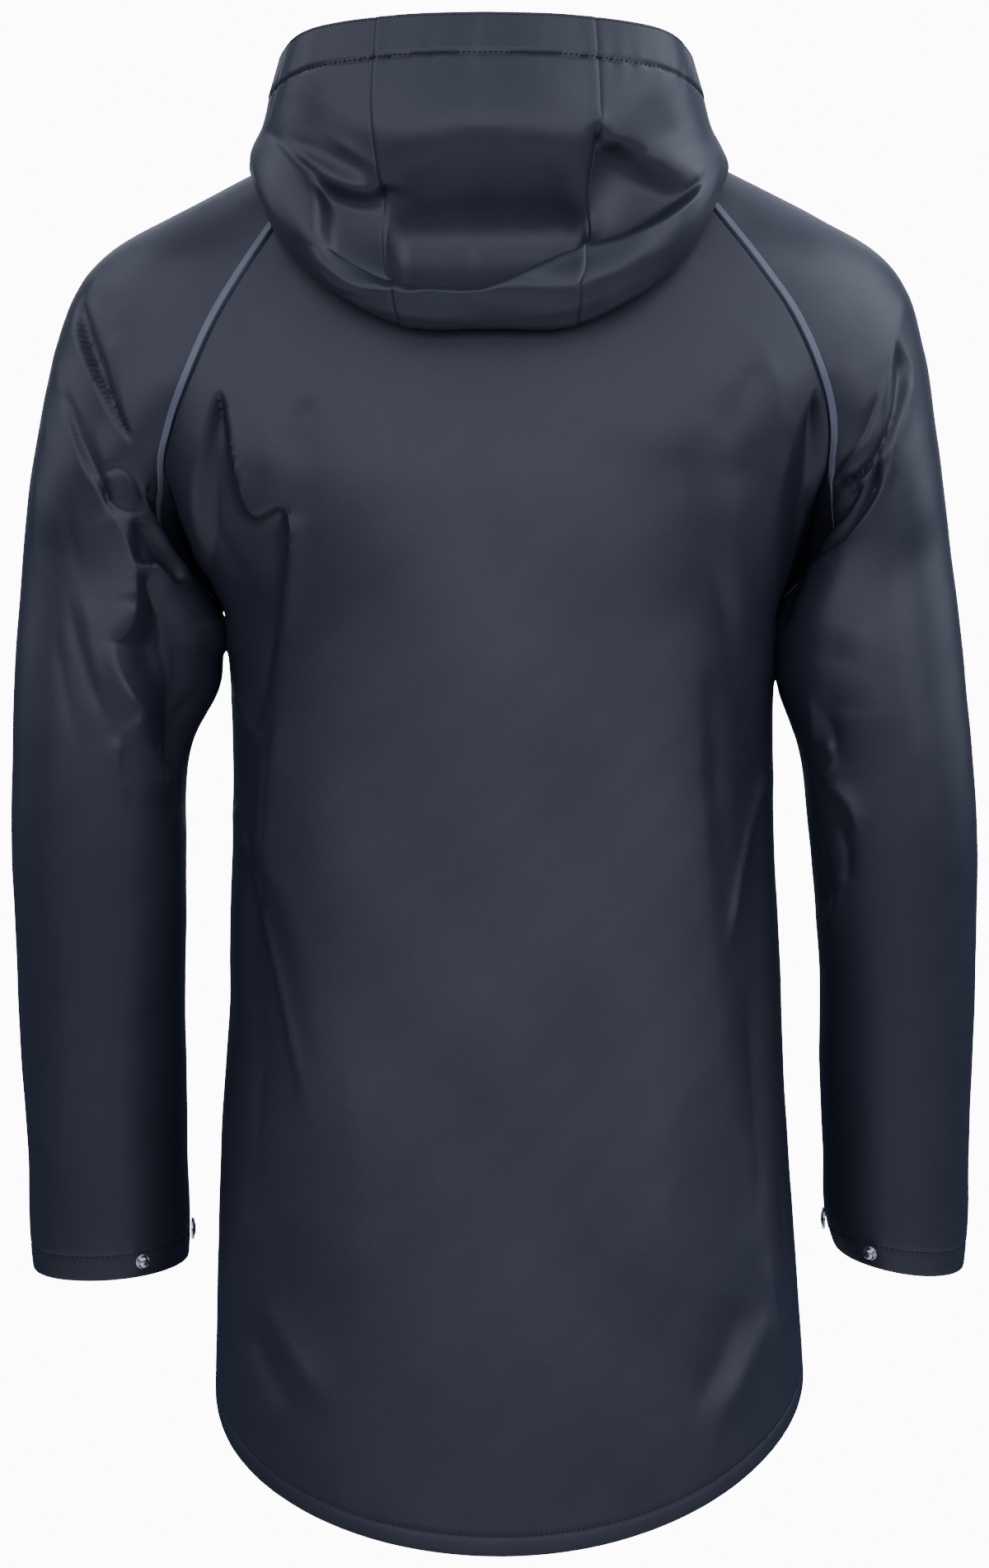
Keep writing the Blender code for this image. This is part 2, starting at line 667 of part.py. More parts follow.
def welt_object(wall, end, rows):
    """Raised strip on a sleeve beside one of its raglan seams."""
    edge, inside = (0, 1) if end == "first" else (-1, -2)
    start = wall.grid[rows, edge]
    way = wall.grid[rows, inside] - start
    way = way / np.linalg.norm(way, axis=-1, keepdims=True)
    line = np.gradient(start, axis=0)
    normal = np.cross(way, line) if end == "first" else np.cross(line, way)
    normal = normal / np.linalg.norm(normal, axis=-1, keepdims=True)
    near = start + way * 2 * SEAM_GAP
    far = near + way * WELT_WIDTH
    low, high = normal * WELT_LIFT, normal * (WELT_LIFT + WELT_HEIGHT)
    ring = [near + low, far + low, far + high, near + high]
    if end == "last":
        ring = [ring[1], ring[0], ring[3], ring[2]]
    points = np.stack(ring, axis=1).reshape(-1, 3)
    faces = []
    for r in range(len(start) - 1):
        for k in range(4):
            a, b = 4 * r + k, 4 * r + (k + 1) % 4
            faces += two_triangles(a, a + 4, b + 4, b, 0)
    top = len(points) - 4
    faces += two_triangles(0, 1, 2, 3, 0)
    faces += two_triangles(top, top + 3, top + 2, top + 1, 0)
    face = "front" if (end == "first") == wall.name.endswith("left") else "back"
    name = "welt_" + face + "_" + wall.name.split("_")[1]
    return mesh_object(name, points, faces, "welt")


# ---------------------------------------------------------------- snaps
def turned_object(name, profile, place, axis, segments=12):
    """Solid of revolution.  profile: (radius, height) from the base up,
    without its two points on the axis."""
    axis = axis / np.linalg.norm(axis)
    first = np.cross(axis, [0.0, 0.0, 1.0])
    first = first / np.linalg.norm(first)
    second = np.cross(axis, first)
    points = [place + axis * profile[0][1]]
    for radius, height in profile:
        for k in range(segments):
            angle = 2 * math.pi * k / segments
            points.append(place + axis * height + radius
                          * (first * math.cos(angle) + second * math.sin(angle)))
    points.append(place + axis * profile[-1][1])
    last = len(points) - 1
    faces = []
    for k in range(segments):
        after = (k + 1) % segments
        faces.append((0, 1 + after, 1 + k))
        for ring in range(len(profile) - 1):
            low = 1 + ring * segments
            faces += two_triangles(low + k, low + after, low + segments + after,
                                   low + segments + k, 0)
        top = 1 + (len(profile) - 1) * segments
        faces.append((last, top + k, top + after))
    return mesh_object(name, np.array(points), faces, "steel", 1.0, 0.25)


def cap_profile():
    radius, height = SNAP_CAP_RADIUS, SNAP_CAP_HEIGHT
    return [(radius, 0.0), (radius, 0.45 * height), (0.82 * radius, 0.8 * height),
            (0.5 * radius, height)]


def stud_profile():
    radius, height = STUD_RADIUS, STUD_HEIGHT
    return [(radius, 0.0), (radius, 0.2 * height), (0.5 * radius, 0.3 * height),
            (0.4 * radius, 0.5 * height), (0.5 * radius, 0.72 * height),
            (0.36 * radius, 0.95 * height), (0.18 * radius, height)]


def sleeve_spot(side, station, around):
    """A place on a sleeve's surface and the way out of the cloth there."""
    step = 0.01
    grid = sleeve(side, [station + step, station, station - step],
                  [around - step, around, around + step])
    across = grid[1, 2] - grid[1, 0]
    upward = grid[2, 1] - grid[0, 1]
    out = np.cross(across, upward) * -OUTWARD[side]
    return grid[1, 1], out / np.linalg.norm(out)


def add_snaps(placket):
    for side in SIDES:
        spot, out = sleeve_spot(side, CUFF_STUD_STATION, CUFF_STUD_AROUND)
        turned_object("cuff_stud_" + side, stud_profile(),
                      spot + out * SNAP_CLEAR, out)
        spot = sleeve(side, [CUFF_CAP_STATION], [0.0])[0, 0]
        out = np.array([-OUTWARD[side], 0.0, 0.0])
        turned_object("cuff_cap_" + side, cap_profile(),
                      spot + out * SNAP_CLEAR, out)
    line, normals = placket.grid[:, 1], placket.normals[:, 1]
    for k in range(SNAP_COUNT):
        z = SNAP_TOP_Z + (SNAP_FOOT_Z - SNAP_TOP_Z) * k / (SNAP_COUNT - 1)
        spot = np.array([np.interp(z, line[:, 2], line[:, i]) for i in range(3)])
        out = np.array([np.interp(z, line[:, 2], normals[:, i])
                        for i in range(3)])
        turned_object("front_snap_%d" % (k + 1), cap_profile(),
                      spot + out * SNAP_CLEAR, out)


def main():
    for thing in list(bpy.data.objects):
        bpy.data.objects.remove(thing)
    body, sleeves = coat_walls()
    press_folds(body + sleeves, COAT_FOLDS)
    hood = hood_walls()
    press_folds(hood, HOOD_FOLDS)
    placket = placket_wall(body[1], body[2])
    gap = SEAM_GAP / 2
    stations = np.linspace(1.0, 0.0, YOKE_ROWS + 1)[1:, None]
    armhole = gap + UNDERARM_GAP * soft_step(UNDERARM_FROM, 1.0, stations)
    for wall in sleeves:
        rows = slice(ARM_ROWS + 5, ARM_ROWS + YOKE_ROWS - 3)
        for end in ("first", "last"):
            welt_object(wall, end, rows)
        stand_back(wall, armhole, armhole, top=gap)
    for wall in body:
        stand_back(wall, gap, gap, top=gap)
    for wall in hood:
        first = 0.0 if wall.name == "hood_left" else gap
        last = 0.0 if wall.name == "hood_right" else gap
        stand_back(wall, first, last)
    stand_back(placket, top=2 * gap)
    for wall in body + sleeves + hood + [placket]:
        wall_object(wall)
    add_snaps(placket)


main()
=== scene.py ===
"""Hooded raincoat, worn form with the hood thrown back: cloth, seams,
stitches, snaps and their finishes.

The front faces -Y, the back faces +Y and the wearer's left is +X.  Tables
and helpers are in millimetres; meshes are in metres.
"""
import math

import bmesh
import bpy
import numpy as np
from mathutils import Matrix, Vector


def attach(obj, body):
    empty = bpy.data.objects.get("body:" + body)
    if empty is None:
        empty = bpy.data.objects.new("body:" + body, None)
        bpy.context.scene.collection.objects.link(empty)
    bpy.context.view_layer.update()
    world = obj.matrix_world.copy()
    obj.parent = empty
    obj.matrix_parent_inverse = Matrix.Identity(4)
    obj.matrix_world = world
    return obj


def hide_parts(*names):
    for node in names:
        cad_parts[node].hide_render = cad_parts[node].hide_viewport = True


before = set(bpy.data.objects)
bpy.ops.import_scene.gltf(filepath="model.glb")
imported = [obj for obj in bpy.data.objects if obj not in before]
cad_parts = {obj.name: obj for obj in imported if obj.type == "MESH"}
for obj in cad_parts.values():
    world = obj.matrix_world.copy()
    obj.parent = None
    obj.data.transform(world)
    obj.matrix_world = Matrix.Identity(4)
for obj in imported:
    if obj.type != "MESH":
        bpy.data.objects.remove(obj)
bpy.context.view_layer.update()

# ------------------------------------------------------------------ camera
EYE_AWAY = 5000.0      # from the coat's middle plane
EYE_Z = -410.0
view = bpy.data.cameras.new("view")
view.lens = 177.0
view.sensor_width = 36.0
camera = bpy.data.objects.new("view", view)
camera.location = (0.0, EYE_AWAY / 1000, EYE_Z / 1000)
camera.rotation_euler = (math.pi / 2, 0.0, math.pi)
bpy.context.scene.collection.objects.link(camera)
bpy.context.scene.camera = camera

# ------------------------------------------------------------- cutter's sizes
CLOTH = 0.9            # coated knit
FOLDED = 2.0           # where a hem is turned up
HEM_TURN = 12.8
CUFF_TURN = 16.4
HOOD_TURN = 27.0
SEAM_GROOVE = 0.9      # depth of the dip where two panels meet
HOOD_SEAM_GROOVE = 0.8
SEAM_DIP_WIDTH = 0.8
HEM_GROOVE = (0.5, 1.2)        # depth and half width along the hem stitches
EDGE_GROOVE = (0.35, 1.0)      # and along the folded edge itself
HEM_GATHERS = 0.22
HOOD_BAND_GROOVE = (1.5, 1.3)
HOOD_BAND_RISE = 0.5
HOOD_BAND_GATHERS = (0.6, 9.0)     # height, and how far they reach
HOOD_RIM = 1.6         # the second row of stitches, from the hood's edge
HOOD_RIM_GROOVE = (0.25, 0.8)
TAPE_SIDES = ((0.6, 3.6), (8.2, 7.2))  # tape under the cloth beside hood seams
TAPE_RISE = 0.4
HALF_SEAM = 0.02
ARMPIT_DEPTH = 7.0     # the seams sink in between body and sleeve
ARMPIT_REACH = 11.0
ARMPIT_TOP_Z = -205.0
ARMPIT_FLOOR_Z = -245.0
UNDERARM_Z = -300.0

BACK_HEM_DROP = 101.0
FRONT_HEM_DROP = 72.0
SIDE_HEM_Z = {"left": -800.0, "right": -791.0}
HEM_CORNER = {"left": 1.0, "right": 1.15}
UNDERARM_ARCH = 1.0
NECK_ARCH = 1.7
ARCH_CHANGE = (1.0, 0.45)
DIP_POWER = 1.5
UNDERARM_CLEAR = 0.8

PLACKET_LIFT = 0.4
PLACKET_HALF = 22.0
ROUNDED_EDGE = 2.5     # the placket spans the fronts' own rounded edges
PLACKET_STITCH = 5.0
PLACKET_GROOVES = ((0.3, 1.0), (0.25, 1.0))  # at the stitches and at the edge
PLACKET_GATHERS = 0.12

STRIP_AWAY = 1.4       # from the raglan seam
STRIP_WIDE = 4.6
STRIP_HIGH = 1.0
STRIP_START = 4        # rows left clear by the underarm, and by the neck
STRIP_STOP = {"front": 5, "back": 14}

SNAP_CAP_RADIUS = 7.2
STUD_RADIUS = 5.0
SNAP_CLEAR = 0.5       # between the cloth and a snap: the cuffs' caps,
STUD_LIFT = 0.2        # the studs
FRONT_SNAP_LIFT = 0.1  # and the caps of the placket
SNAP_COUNT = 6
SNAP_TOP_Z = -108.0
SNAP_FOOT_Z = -738.0
CUFF_STUD_STATION = 1.975
CUFF_STUD_AROUND = 0.178
CUFF_CAP_STATION = 1.955

SIDES = ("left", "right")
OUTWARD = {"left": 1.0, "right": -1.0}


def table(columns, *rows):
    """Named columns of numbers, one row for each section of the coat."""
    names = columns.split()
    numbers = np.array(rows, dtype=float)
    return {name: numbers[:, place] for place, name in enumerate(names)}


def between(start, end, leave, arrive, f):
    """Cubic from start to end, given how fast it leaves and arrives."""
    return (start * (1 + 2 * f) * (1 - f) ** 2 + leave * f * (1 - f) ** 2
            + end * f * f * (3 - 2 * f) + arrive * f * f * (f - 1))


def smooth(knots, values, at):
    """Smooth curve through every value, read at each place of 'at'."""
    at = np.asarray(at, dtype=float)
    slopes = np.gradient(values, knots)
    last = len(knots) - 2
    span = np.clip(np.searchsorted(knots, at, side="right") - 1, 0, last)
    width = knots[span + 1] - knots[span]
    f = np.clip((at - knots[span]) / width, 0.0, 1.0)
    return between(values[span], values[span + 1],
                   slopes[span] * width, slopes[span + 1] * width, f)


def soft_step(low, high, value):
    f = np.clip((value - low) / (high - low), 0.0, 1.0)
    return f * f * (3 - 2 * f)


def crossing(angle):
    """Share of the way from the left side to the right one, seen flat."""
    return (1 - np.cos(angle)) / 2


def unit(ways):
    return ways / np.linalg.norm(ways, axis=-1, keepdims=True)


def read_at(place, along, values):
    """Values of a line of points at one or more places along it."""
    return np.stack([np.interp(place, along, values[:, i]) for i in range(3)], -1)


# ---------------------------------------------------------------- the tables
# Skirt of the coat, from the underarm down: half widths to each side seam.
SKIRT = table(
    "z     left   right",
    (-950, 183.0, 203.0),
    (-800, 181.0, 201.0),
    (-750, 180.0, 198.0),
    (-640, 177.5, 190.0),
    (-532, 172.5, 185.5),
    (-425, 170.0, 181.0),
    (-345, 171.5, 181.5),
    (-300, 175.0, 182.0),
)

# Centre back and centre front in profile, from the neck down.
BACK_PROFILE = table(
    "z     y",
    (-950, 148.0),
    (-800, 145.0),
    (-640, 141.0),
    (-425, 137.0),
    (-300, 138.0),
    (-180, 133.0),
    (-110, 119.0),
    (-50, 93.0),
    (0, 57.0),
)
FRONT_PROFILE = table(
    "z     y",
    (-950, -148.0),
    (-800, -147.0),
    (-640, -145.0),
    (-425, -142.0),
    (-300, -140.0),
    (-220, -135.0),
    (-150, -121.0),
    (-110, -103.0),
    (-75, -78.0),
)

PROFILE = {"back": BACK_PROFILE, "front": FRONT_PROFILE}

# Raglan sleeve above the underarm, neck first.  crown: the line over the
# shoulder.  back and front: the seams, with the sleeve's depth there and the
# turn in degrees that the cloth has made past its deepest point at the seam.
SHOULDER_COLUMNS = ("crown_x crown_z mid_y back_x back_z back_depth back_turn "
                    "front_x front_z front_depth front_turn")
SHOULDER = {
    "left": table(
        SHOULDER_COLUMNS,
        (80, 20, 0, 68, 10, 41, -8, 62, -20, 57, -8),
        (112, 6, 0, 101, -10, 66, -12, 90, -48, 86, -12),
        (164, -19, 0, 124, -34, 84, -16, 116, -76, 102, -14),
        (212, -44, -1, 142, -58, 95, -18, 140, -104, 108, -14),
        (252, -67, -2, 160, -85, 103, -18, 160, -132, 110, -12),
        (273, -93, -3, 178, -116, 105, -14, 176, -160, 107, -6),
        (286, -133, -3, 193, -150, 101, -4, 188, -190, 98, 6),
        (295, -178, -3, 205, -182, 93, 12, 194, -220, 87, 22),
        (301, -215, -2, 211, -212, 85, 34, 195, -250, 78, 42),
        (304, -240, -1, 202, -254, 78, 62, 187, -278, 73, 66),
        (306, -258, 0, 175, -300, 73, 90, 175, -300, 70, 90),
    ),
    "right": table(
        SHOULDER_COLUMNS,
        (80, 20, 0, 68, 10, 41, -8, 62, -20, 57, -8),
        (112, 6, 0, 103, -8, 66, -12, 90, -48, 86, -12),
        (164, -20, 0, 128, -31, 84, -16, 116, -76, 102, -14),
        (212, -45, -1, 148, -54, 95, -18, 140, -104, 108, -14),
        (250, -67, -2, 168, -80, 103, -18, 160, -132, 110, -12),
        (269, -93, -3, 189, -111, 104, -14, 178, -160, 106, -6),
        (280, -135, -3, 205, -147, 99, -2, 190, -190, 96, 6),
        (286, -176, -3, 213, -178, 90, 14, 196, -220, 85, 22),
        (291, -215, -2, 213, -210, 81, 38, 197, -250, 76, 42),
        (294, -240, -1, 205, -254, 75, 64, 190, -278, 71, 66),
        (296, -258, 0, 182, -300, 71, 90, 182, -300, 68, 90),
    ),
}

# Sleeve below the underarm, to the cuff.  outer and inner: the sleeve's two
# edges seen from the back.  mid_y: the arm's axis.  depth: half the tube.
ARM_COLUMNS = "outer_x outer_z inner_x inner_z mid_y depth"
ARM = {
    "left": table(
        ARM_COLUMNS,
        (309, -300, 175.4, -327, 3, 71),
        (311, -345, 178.5, -350, 5, 68),
        (312, -388, 195, -384, 5, 63),
        (313, -447, 200, -447, 1, 59),
        (311.6, -510, 200.4, -510, -9, 57),
        (308.6, -591, 201, -591, -26, 54),
        (305.4, -652, 200.6, -652, -39, 52),
        (304, -703, 199, -700, -48, 50),
        (302, -725, 200, -718, -53, 49),
    ),
    "right": table(
        ARM_COLUMNS,
        (301, -300, 182.9, -330, 3, 70),
        (305, -345, 184.0, -352, 5, 67),
        (309, -388, 196, -386, 5, 62),
        (313, -450, 204, -447, 1, 58),
        (312.8, -532, 210.5, -530, -13, 55),
        (311.7, -597, 212, -591, -27, 53),
        (310.4, -652, 214.6, -647, -39, 51),
        (309, -703, 217, -694, -48, 49),
        (307, -724, 222, -710, -53, 48),
    ),
}

# Hood, thrown back.  Sections by azimuth in degrees from the centre back.
# Each runs from the neck seam up over a crest, down to the lowest fold of the
# pouch, out over its swell, in at the waist, out under the brow and up to the
# face edge.  reach: distance from the neck's axis.
HOOD = table(
    "azimuth crest crest_z low low_z swell swell_z waist waist_z "
    "brow brow_z edge edge_z",
    (0,      76,   24,     140, -121, 160,  -100,   134,  -64,    150, 4,    131, 78),
    (25,     79,   26,     152, -115, 168,  -92,    147,  -56,    158, 5,    139, 76),
    (45,     87,   30,     173, -78,  182,  -54,    169,  -14,    163, 28,   153, 70),
    (65,     95,   33,     168, -18,  167,  -12,    158,  8,      151, 33,   143, 60),
    (85,     98,   31,     144, 2,    144,  8,      140,  16,     138, 32,   134, 49),
    (110,    96,   21,     130, 3,    130,  8,      128,  13,     125, 19,   122, 26),
    (140,    88,   -18,    104, -22,  107,  -20,    110,  -16,    113, -11,  115, -6),
    (180,    84,   -68,    91,  -65,  95,   -62,    99,   -57,    104, -49,  110, -40),
)
# Stations along a section, and where the two hood seams run across them.
HOOD_STATION = np.array([0.0, 0.08, 0.46, 0.575, 0.70, 0.85, 1.0])
HOOD_SEAM_AZIMUTH = np.array([36.0, 33.0, 22.5, 21.0, 26.0, 27.2, 29.5])
HOOD_LEAN = 5.5        # the hood sits this far to the wearer's left
THROAT_AZIMUTH = np.array([178.0, 177.5, 177.0, 176.5, 176.0, 175.3, 174.5])
HOOD_LOOSE_FROM = (0.40, 0.52)  # folds show only on the pouch's outer side
HOOD_LIFT = 1.6        # the hood's lower edge above the neck seam

# Creases: each runs through three places on the elevation.  left, right:
# half width on its two sides, left being the wearer's left of a crease that
# is written downward.  rise: out of the cloth if positive.  blunt: the share
# of its length that fades at each end.
CREASE_COLUMNS = "x0 z0 x1 z1 x2 z2 left right rise blunt"
BACK_CREASES = table(
    CREASE_COLUMNS,
    # left sleeve
    (255, -78, 259, -86, 264, -93, 5, 5, 1.8, 0.3),  # small ridge on the shoulder
    (251, -84, 251, -107, 248, -128, 5, 10, -1.8, 0.3),  # dip beside it
    (272, -106, 265, -136, 236, -185, 7, 3.4, 1.6, 0.25),  # lip of the gully
    (280, -157, 270, -193, 251, -231, 9, 3.4, 1.6, 0.25),  # long ridge, first part
    (251, -231, 236, -261, 232, -292, 10, 3, 1.5, 0.12),  # its second part
    (232, -292, 236, -309, 247, -317, 7, 3, 1.2, 0.15),  # its turn
    (247, -317, 244, -337, 227, -362, 8, 3, 1.8, 0.2),  # its end
    (283, -121, 284, -142, 280, -159, 3, 4, 0.9, 0.3),  # fine ridge at the edge
    (289, -149, 291, -171, 290, -193, 3, 3, 0.8, 0.3),
    (294, -201, 297, -243, 296, -286, 4, 5, 0.9, 0.3),
    (255, -210, 238, -207, 225, -232, 3, 3, -2, 0.12),  # upper lid of a dent
    (255, -211, 246, -230, 225, -232, 3, 3, -2, 0.12),  # lower lid
    (229, -225, 211, -251, 197, -273, 3, 2.6, 1.2, 0.12),  # lip of the finger fold
    (284, -201, 277, -243, 262, -292, 9, 9, -1.1, 0.4),  # soft dip of the upper arm
    (265, -284, 261, -318, 253, -356, 6, 7, 1.5, 0.3),  # fine ridge over the elbow
    (276, -286, 268, -329, 248, -377, 5, 7, -1.5, 0.3),  # fine dip beside it
    (289, -292, 280, -345, 268, -399, 6, 8, -1.1, 0.4),
    (241, -378, 245, -399, 238, -423, 7, 4, 2, 0.25),  # lower elbow ridge
    (227, -366, 235, -374, 243, -379, 5, 7, 1.2, 0.3),  # crease from the elbow
    (214, -385, 214, -399, 211, -419, 6, 4, 2, 0.3),  # bulge at the inner arm
    (211, -383, 207, -409, 211, -441, 9, 9, -2.5, 0.3),  # dip right of it
    (257, -457, 251, -516, 254, -597, 18, 20, -1.1, 0.4),  # slow fall of the forearm
    (284, -490, 278, -570, 280, -650, 14, 16, 1, 0.4),
    (179, -301, 176, -314, 176, -327, 9, 9, 3.2, 0.2),  # sleeve and side lean close
    # left side of the back
    (185, -205, 186, -249, 185, -295, 3, 3, -1.2, 0.25),  # upright crease
    (175, -164, 171, -193, 160, -231, 3, 3.4, 1.6, 0.2),  # lip of the left drape
    (134, -234, 132, -270, 138, -329, 4, 7, 2.2, 0.2),  # its lower lip
    (151, -158, 149, -185, 147, -217, 9, 9, 1, 0.3),  # soft light band
    (111, -160, 131, -193, 131, -286, 9, 16, -2.2, 0.3),  # soft drape
    (140, -356, 146, -436, 151, -522, 6, 16, 2.5, 0.3),  # ridge fading down
    (126, -171, 122, -222, 124, -308, 10, 18, -2.2, 0.3),  # soft drape
    (144, -104, 163, -131, 171, -158, 16, 14, -2.5, 0.3),  # dip near the shoulder blade
    (169, -349, 162, -368, 151, -385, 3, 3, 2.1, 0.15),  # thin crease at the side
    (169, -423, 160, -457, 154, -485, 3, 3, 2.4, 0.12),  # thin crease
    (150, -391, 152, -436, 154, -485, 3, 4, 2.4, 0.12),  # thin crease
    (154, -485, 144, -532, 121, -623, 2.6, 4, 2.2, 0.2),  # thin crease
    (174, -516, 170, -597, 174, -704, 8, 14, -2.5, 0.3),  # side fold by the hem
    # right side of the back
    (-169, -123, -184, -158, -188, -217, 14, 16, 2.5, 0.3),  # soft light band
    (-179, -136, -160, -158, -150, -201, 14, 14, -2, 0.3),  # soft dip
    (-121, -185, -129, -254, -140, -329, 16, 12, -1.5, 0.25),  # long drape
    (-140, -329, -146, -383, -150, -441, 16, 12, -2.5, 0.3),  # the same, fading
    (-150, -206, -155, -265, -163, -329, 12, 16, 2, 0.3),  # light band beside it
    (-180, -396, -169, -447, -156, -514, 3, 4, 2.4, 0.15),  # thin crease
    (-163, -532, -174, -597, -177, -666, 12, 12, -1.8, 0.4),  # soft hollow
    (-186, -639, -188, -693, -193, -757, 5, 6, -2.5, 0.3),  # pleat at the side
    (-177, -704, -181, -757, -187, -800, 5, 5, 2.2, 0.3),  # pleat ridge
    # right sleeve
    (-266, -128, -266, -172, -239, -213, 3.4, 8, 1.5, 0.3),  # lip of the gully
    (-260, -179, -247, -228, -217, -258, 3.4, 8, 1.9, 0.3),  # lip of the long ridge
    (-217, -258, -201, -270, -187, -299, 3, 9, 2, 0.15),  # it runs on to the underarm
    (-272, -152, -265, -201, -241, -243, 8, 12, -1, 0.4),  # soft dip outside
    (-256, -140, -253, -155, -248, -171, 3, 4, 1, 0.3),  # ridge over the fold
    (-230, -308, -219, -345, -218, -372, 22, 20, -2.5, 0.3),  # inner arm hollow
    (-182, -302, -184, -324, -184, -348, 9, 9, 3, 0.2),  # sleeve and side lean close
    (-268, -87, -260, -115, -254, -152, 7, 9, 2.2, 0.3),  # shoulder fold
    (-223, -111, -220, -142, -222, -171, 12, 14, -1.5, 0.4),  # soft dip
    (-201, -350, -207, -372, -204, -385, 6, 5, 2.5, 0.3),  # inner elbow bump
    (-209, -361, -220, -383, -214, -404, 6, 7, -2.8, 0.3),  # dip around it
    (-214, -383, -219, -396, -212, -409, 5, 5, 3, 0.2),  # elbow bump
    (-212, -409, -230, -423, -235, -441, 6, 8, 3, 0.2),  # elbow crease
    (-222, -436, -228, -457, -226, -476, 6, 7, -3.2, 0.2),  # dip under it
    (-206, -431, -212, -468, -218, -495, 8, 7, -2.8, 0.3),  # inner arm dip
    (-225, -479, -220, -492, -217, -511, 6, 6, 2, 0.3),  # small ridge
    (-268, -329, -273, -409, -268, -490, 20, 20, 1.5, 0.4),  # rounded forearm
    # hem and lower back, very soft
    (160, -752, 149, -784, 128, -821, 10, 14, -3, 0.3),  # dip by the hem
    (148, -744, 133, -778, 105, -816, 9, 12, 2.5, 0.3),  # ridge beside it
    (-179, -746, -165, -784, -142, -829, 8, 12, 2.8, 0.3),  # ridge by the hem
    (-163, -741, -150, -778, -127, -824, 12, 12, -2.5, 0.3),  # dip beside it
    (96, -570, 86, -677, 91, -778, 26, 30, 2, 0.4),  # soft fall of the back
    (21, -543, 21, -677, 32, -811, 30, 34, -2.2, 0.4),  # soft hollow of the back
    (-96, -570, -107, -677, -102, -784, 28, 30, 1.8, 0.4),  # soft fall
)
HOOD_CREASES = table(
    CREASE_COLUMNS,
    (150, 14, 133, 2, 116, -20, 6, 9, -2.6, 0.15),  # crease from the side
    (137, 5, 110, -12, 79, -24, 7, 6, 3, 0.2),  # upper lip of the hook
    (107, 10, 87, -3, 72, -15, 6, 6, 1.6, 0.3),  # ridge above it
    (139, 13, 115, 0, 78, -18, 7, 7, -1.6, 0.3),  # dip between
    (116, -20, 96, -22, 74, -14, 5, 6, 2.4, 0.2),  # hook
    (117, -18, 116, -40, 116, -64, 7, 5, 3.2, 0.2),  # upright fold
    (116, -64, 106, -83, 86, -89, 6, 7, 2.2, 0.2),  # lower lip, left
    (86, -89, 43, -89, -6, -82, 7, 10, 1.6, 0.2),  # lower lip, middle
    (-6, -82, -48, -65, -86, -52, 7, 8, 3.2, 0.15),  # lower lip, right
    (-86, -52, -113, -38, -132, -24, 6, 7, 3.4, 0.15),  # lower lip to the side
    (-69, 29, -74, 9, -94, -4, 6, 5, 2.4, 0.2),  # ridge from the seam
    (-94, -4, -115, -11, -131, -22, 6, 6, 3.6, 0.12),  # its sharp end
    (-102, 7, -123, -5, -142, -16, 9, 9, 1.6, 0.3),  # fold above the ridge
    (134, 40, 126, 24, 122, 11, 12, 12, -1.2, 0.3),  # soft dip under the band
    (-96, 40, -107, 19, -118, 5, 14, 14, -1.2, 0.3),  # soft dip under the band
    (107, -91, 54, -106, 0, -109, 9, 8, 1.6, 0.3),  # roll, left
    (-11, -108, -64, -94, -107, -73, 9, 8, 1.8, 0.3),  # roll, right
    (-101, -49, -107, -54, -111, -63, 5, 6, -1.6, 0.3),  # dent in the roll
    (-61, -83, -72, -89, -81, -93, 5, 5, -1.4, 0.3),  # dent in the roll
    (97, -88, 86, -95, 70, -89, 5, 6, -1.4, 0.3),  # dent under the lip
)
FRONT_CREASES = table(
    CREASE_COLUMNS,
    # the sleeves
    (272, -128, 246, -170, 204, -246, 6, 9, -4, 0.2),  # left armhole fold
    (280, -120, 256, -176, 212, -262, 8, 5, 2.6, 0.2),  # ridge outside it
    (288, -190, 262, -240, 216, -300, 8, 6, 2.4, 0.3),  # second ridge
    (280, -262, 252, -300, 214, -330, 9, 9, -3, 0.3),  # hollow at the arm
    (296, -380, 262, -402, 222, -410, 7, 9, -2.2, 0.3),  # elbow crease
    (290, -430, 256, -448, 224, -462, 8, 7, 2, 0.3),  # elbow ridge
    (-270, -130, -244, -176, -206, -248, 9, 6, -4, 0.2),  # right armhole fold
    (-280, -124, -254, -182, -214, -264, 5, 8, 2.6, 0.2),  # ridge outside it
    (-284, -196, -256, -246, -212, -306, 6, 8, 2.4, 0.3),  # second ridge
    (-276, -268, -246, -306, -216, -334, 9, 9, -3, 0.3),  # hollow at the arm
    (-292, -392, -258, -410, -222, -418, 9, 7, -2.2, 0.3),  # elbow crease
    (-286, -440, -252, -456, -224, -470, 7, 8, 2, 0.3),  # elbow ridge
    # the fronts
    (176, -180, 172, -250, 160, -340, 8, 14, -4, 0.2),  # left drape
    (150, -206, 148, -300, 146, -420, 12, 16, 2, 0.3),
    (120, -240, 116, -340, 118, -470, 16, 14, -2, 0.3),
    (-180, -186, -176, -260, -164, -350, 14, 8, -4, 0.2),  # right drape
    (-152, -214, -150, -310, -148, -430, 16, 12, 2, 0.3),
    (-122, -252, -120, -350, -122, -480, 14, 16, -2, 0.3),
    (96, -560, 104, -660, 98, -800, 24, 28, -2, 0.4),  # soft falls
    (-90, -540, -102, -650, -96, -790, 28, 24, -2, 0.4),
    (60, -600, 52, -700, 56, -820, 22, 22, 1.4, 0.4),
    (-58, -580, -50, -690, -54, -820, 22, 22, 1.4, 0.4),
    (70, -120, 60, -160, 56, -210, 12, 12, -1.4, 0.4),  # by the neck
    (-70, -124, -62, -166, -58, -216, 12, 12, -1.4, 0.4),
)


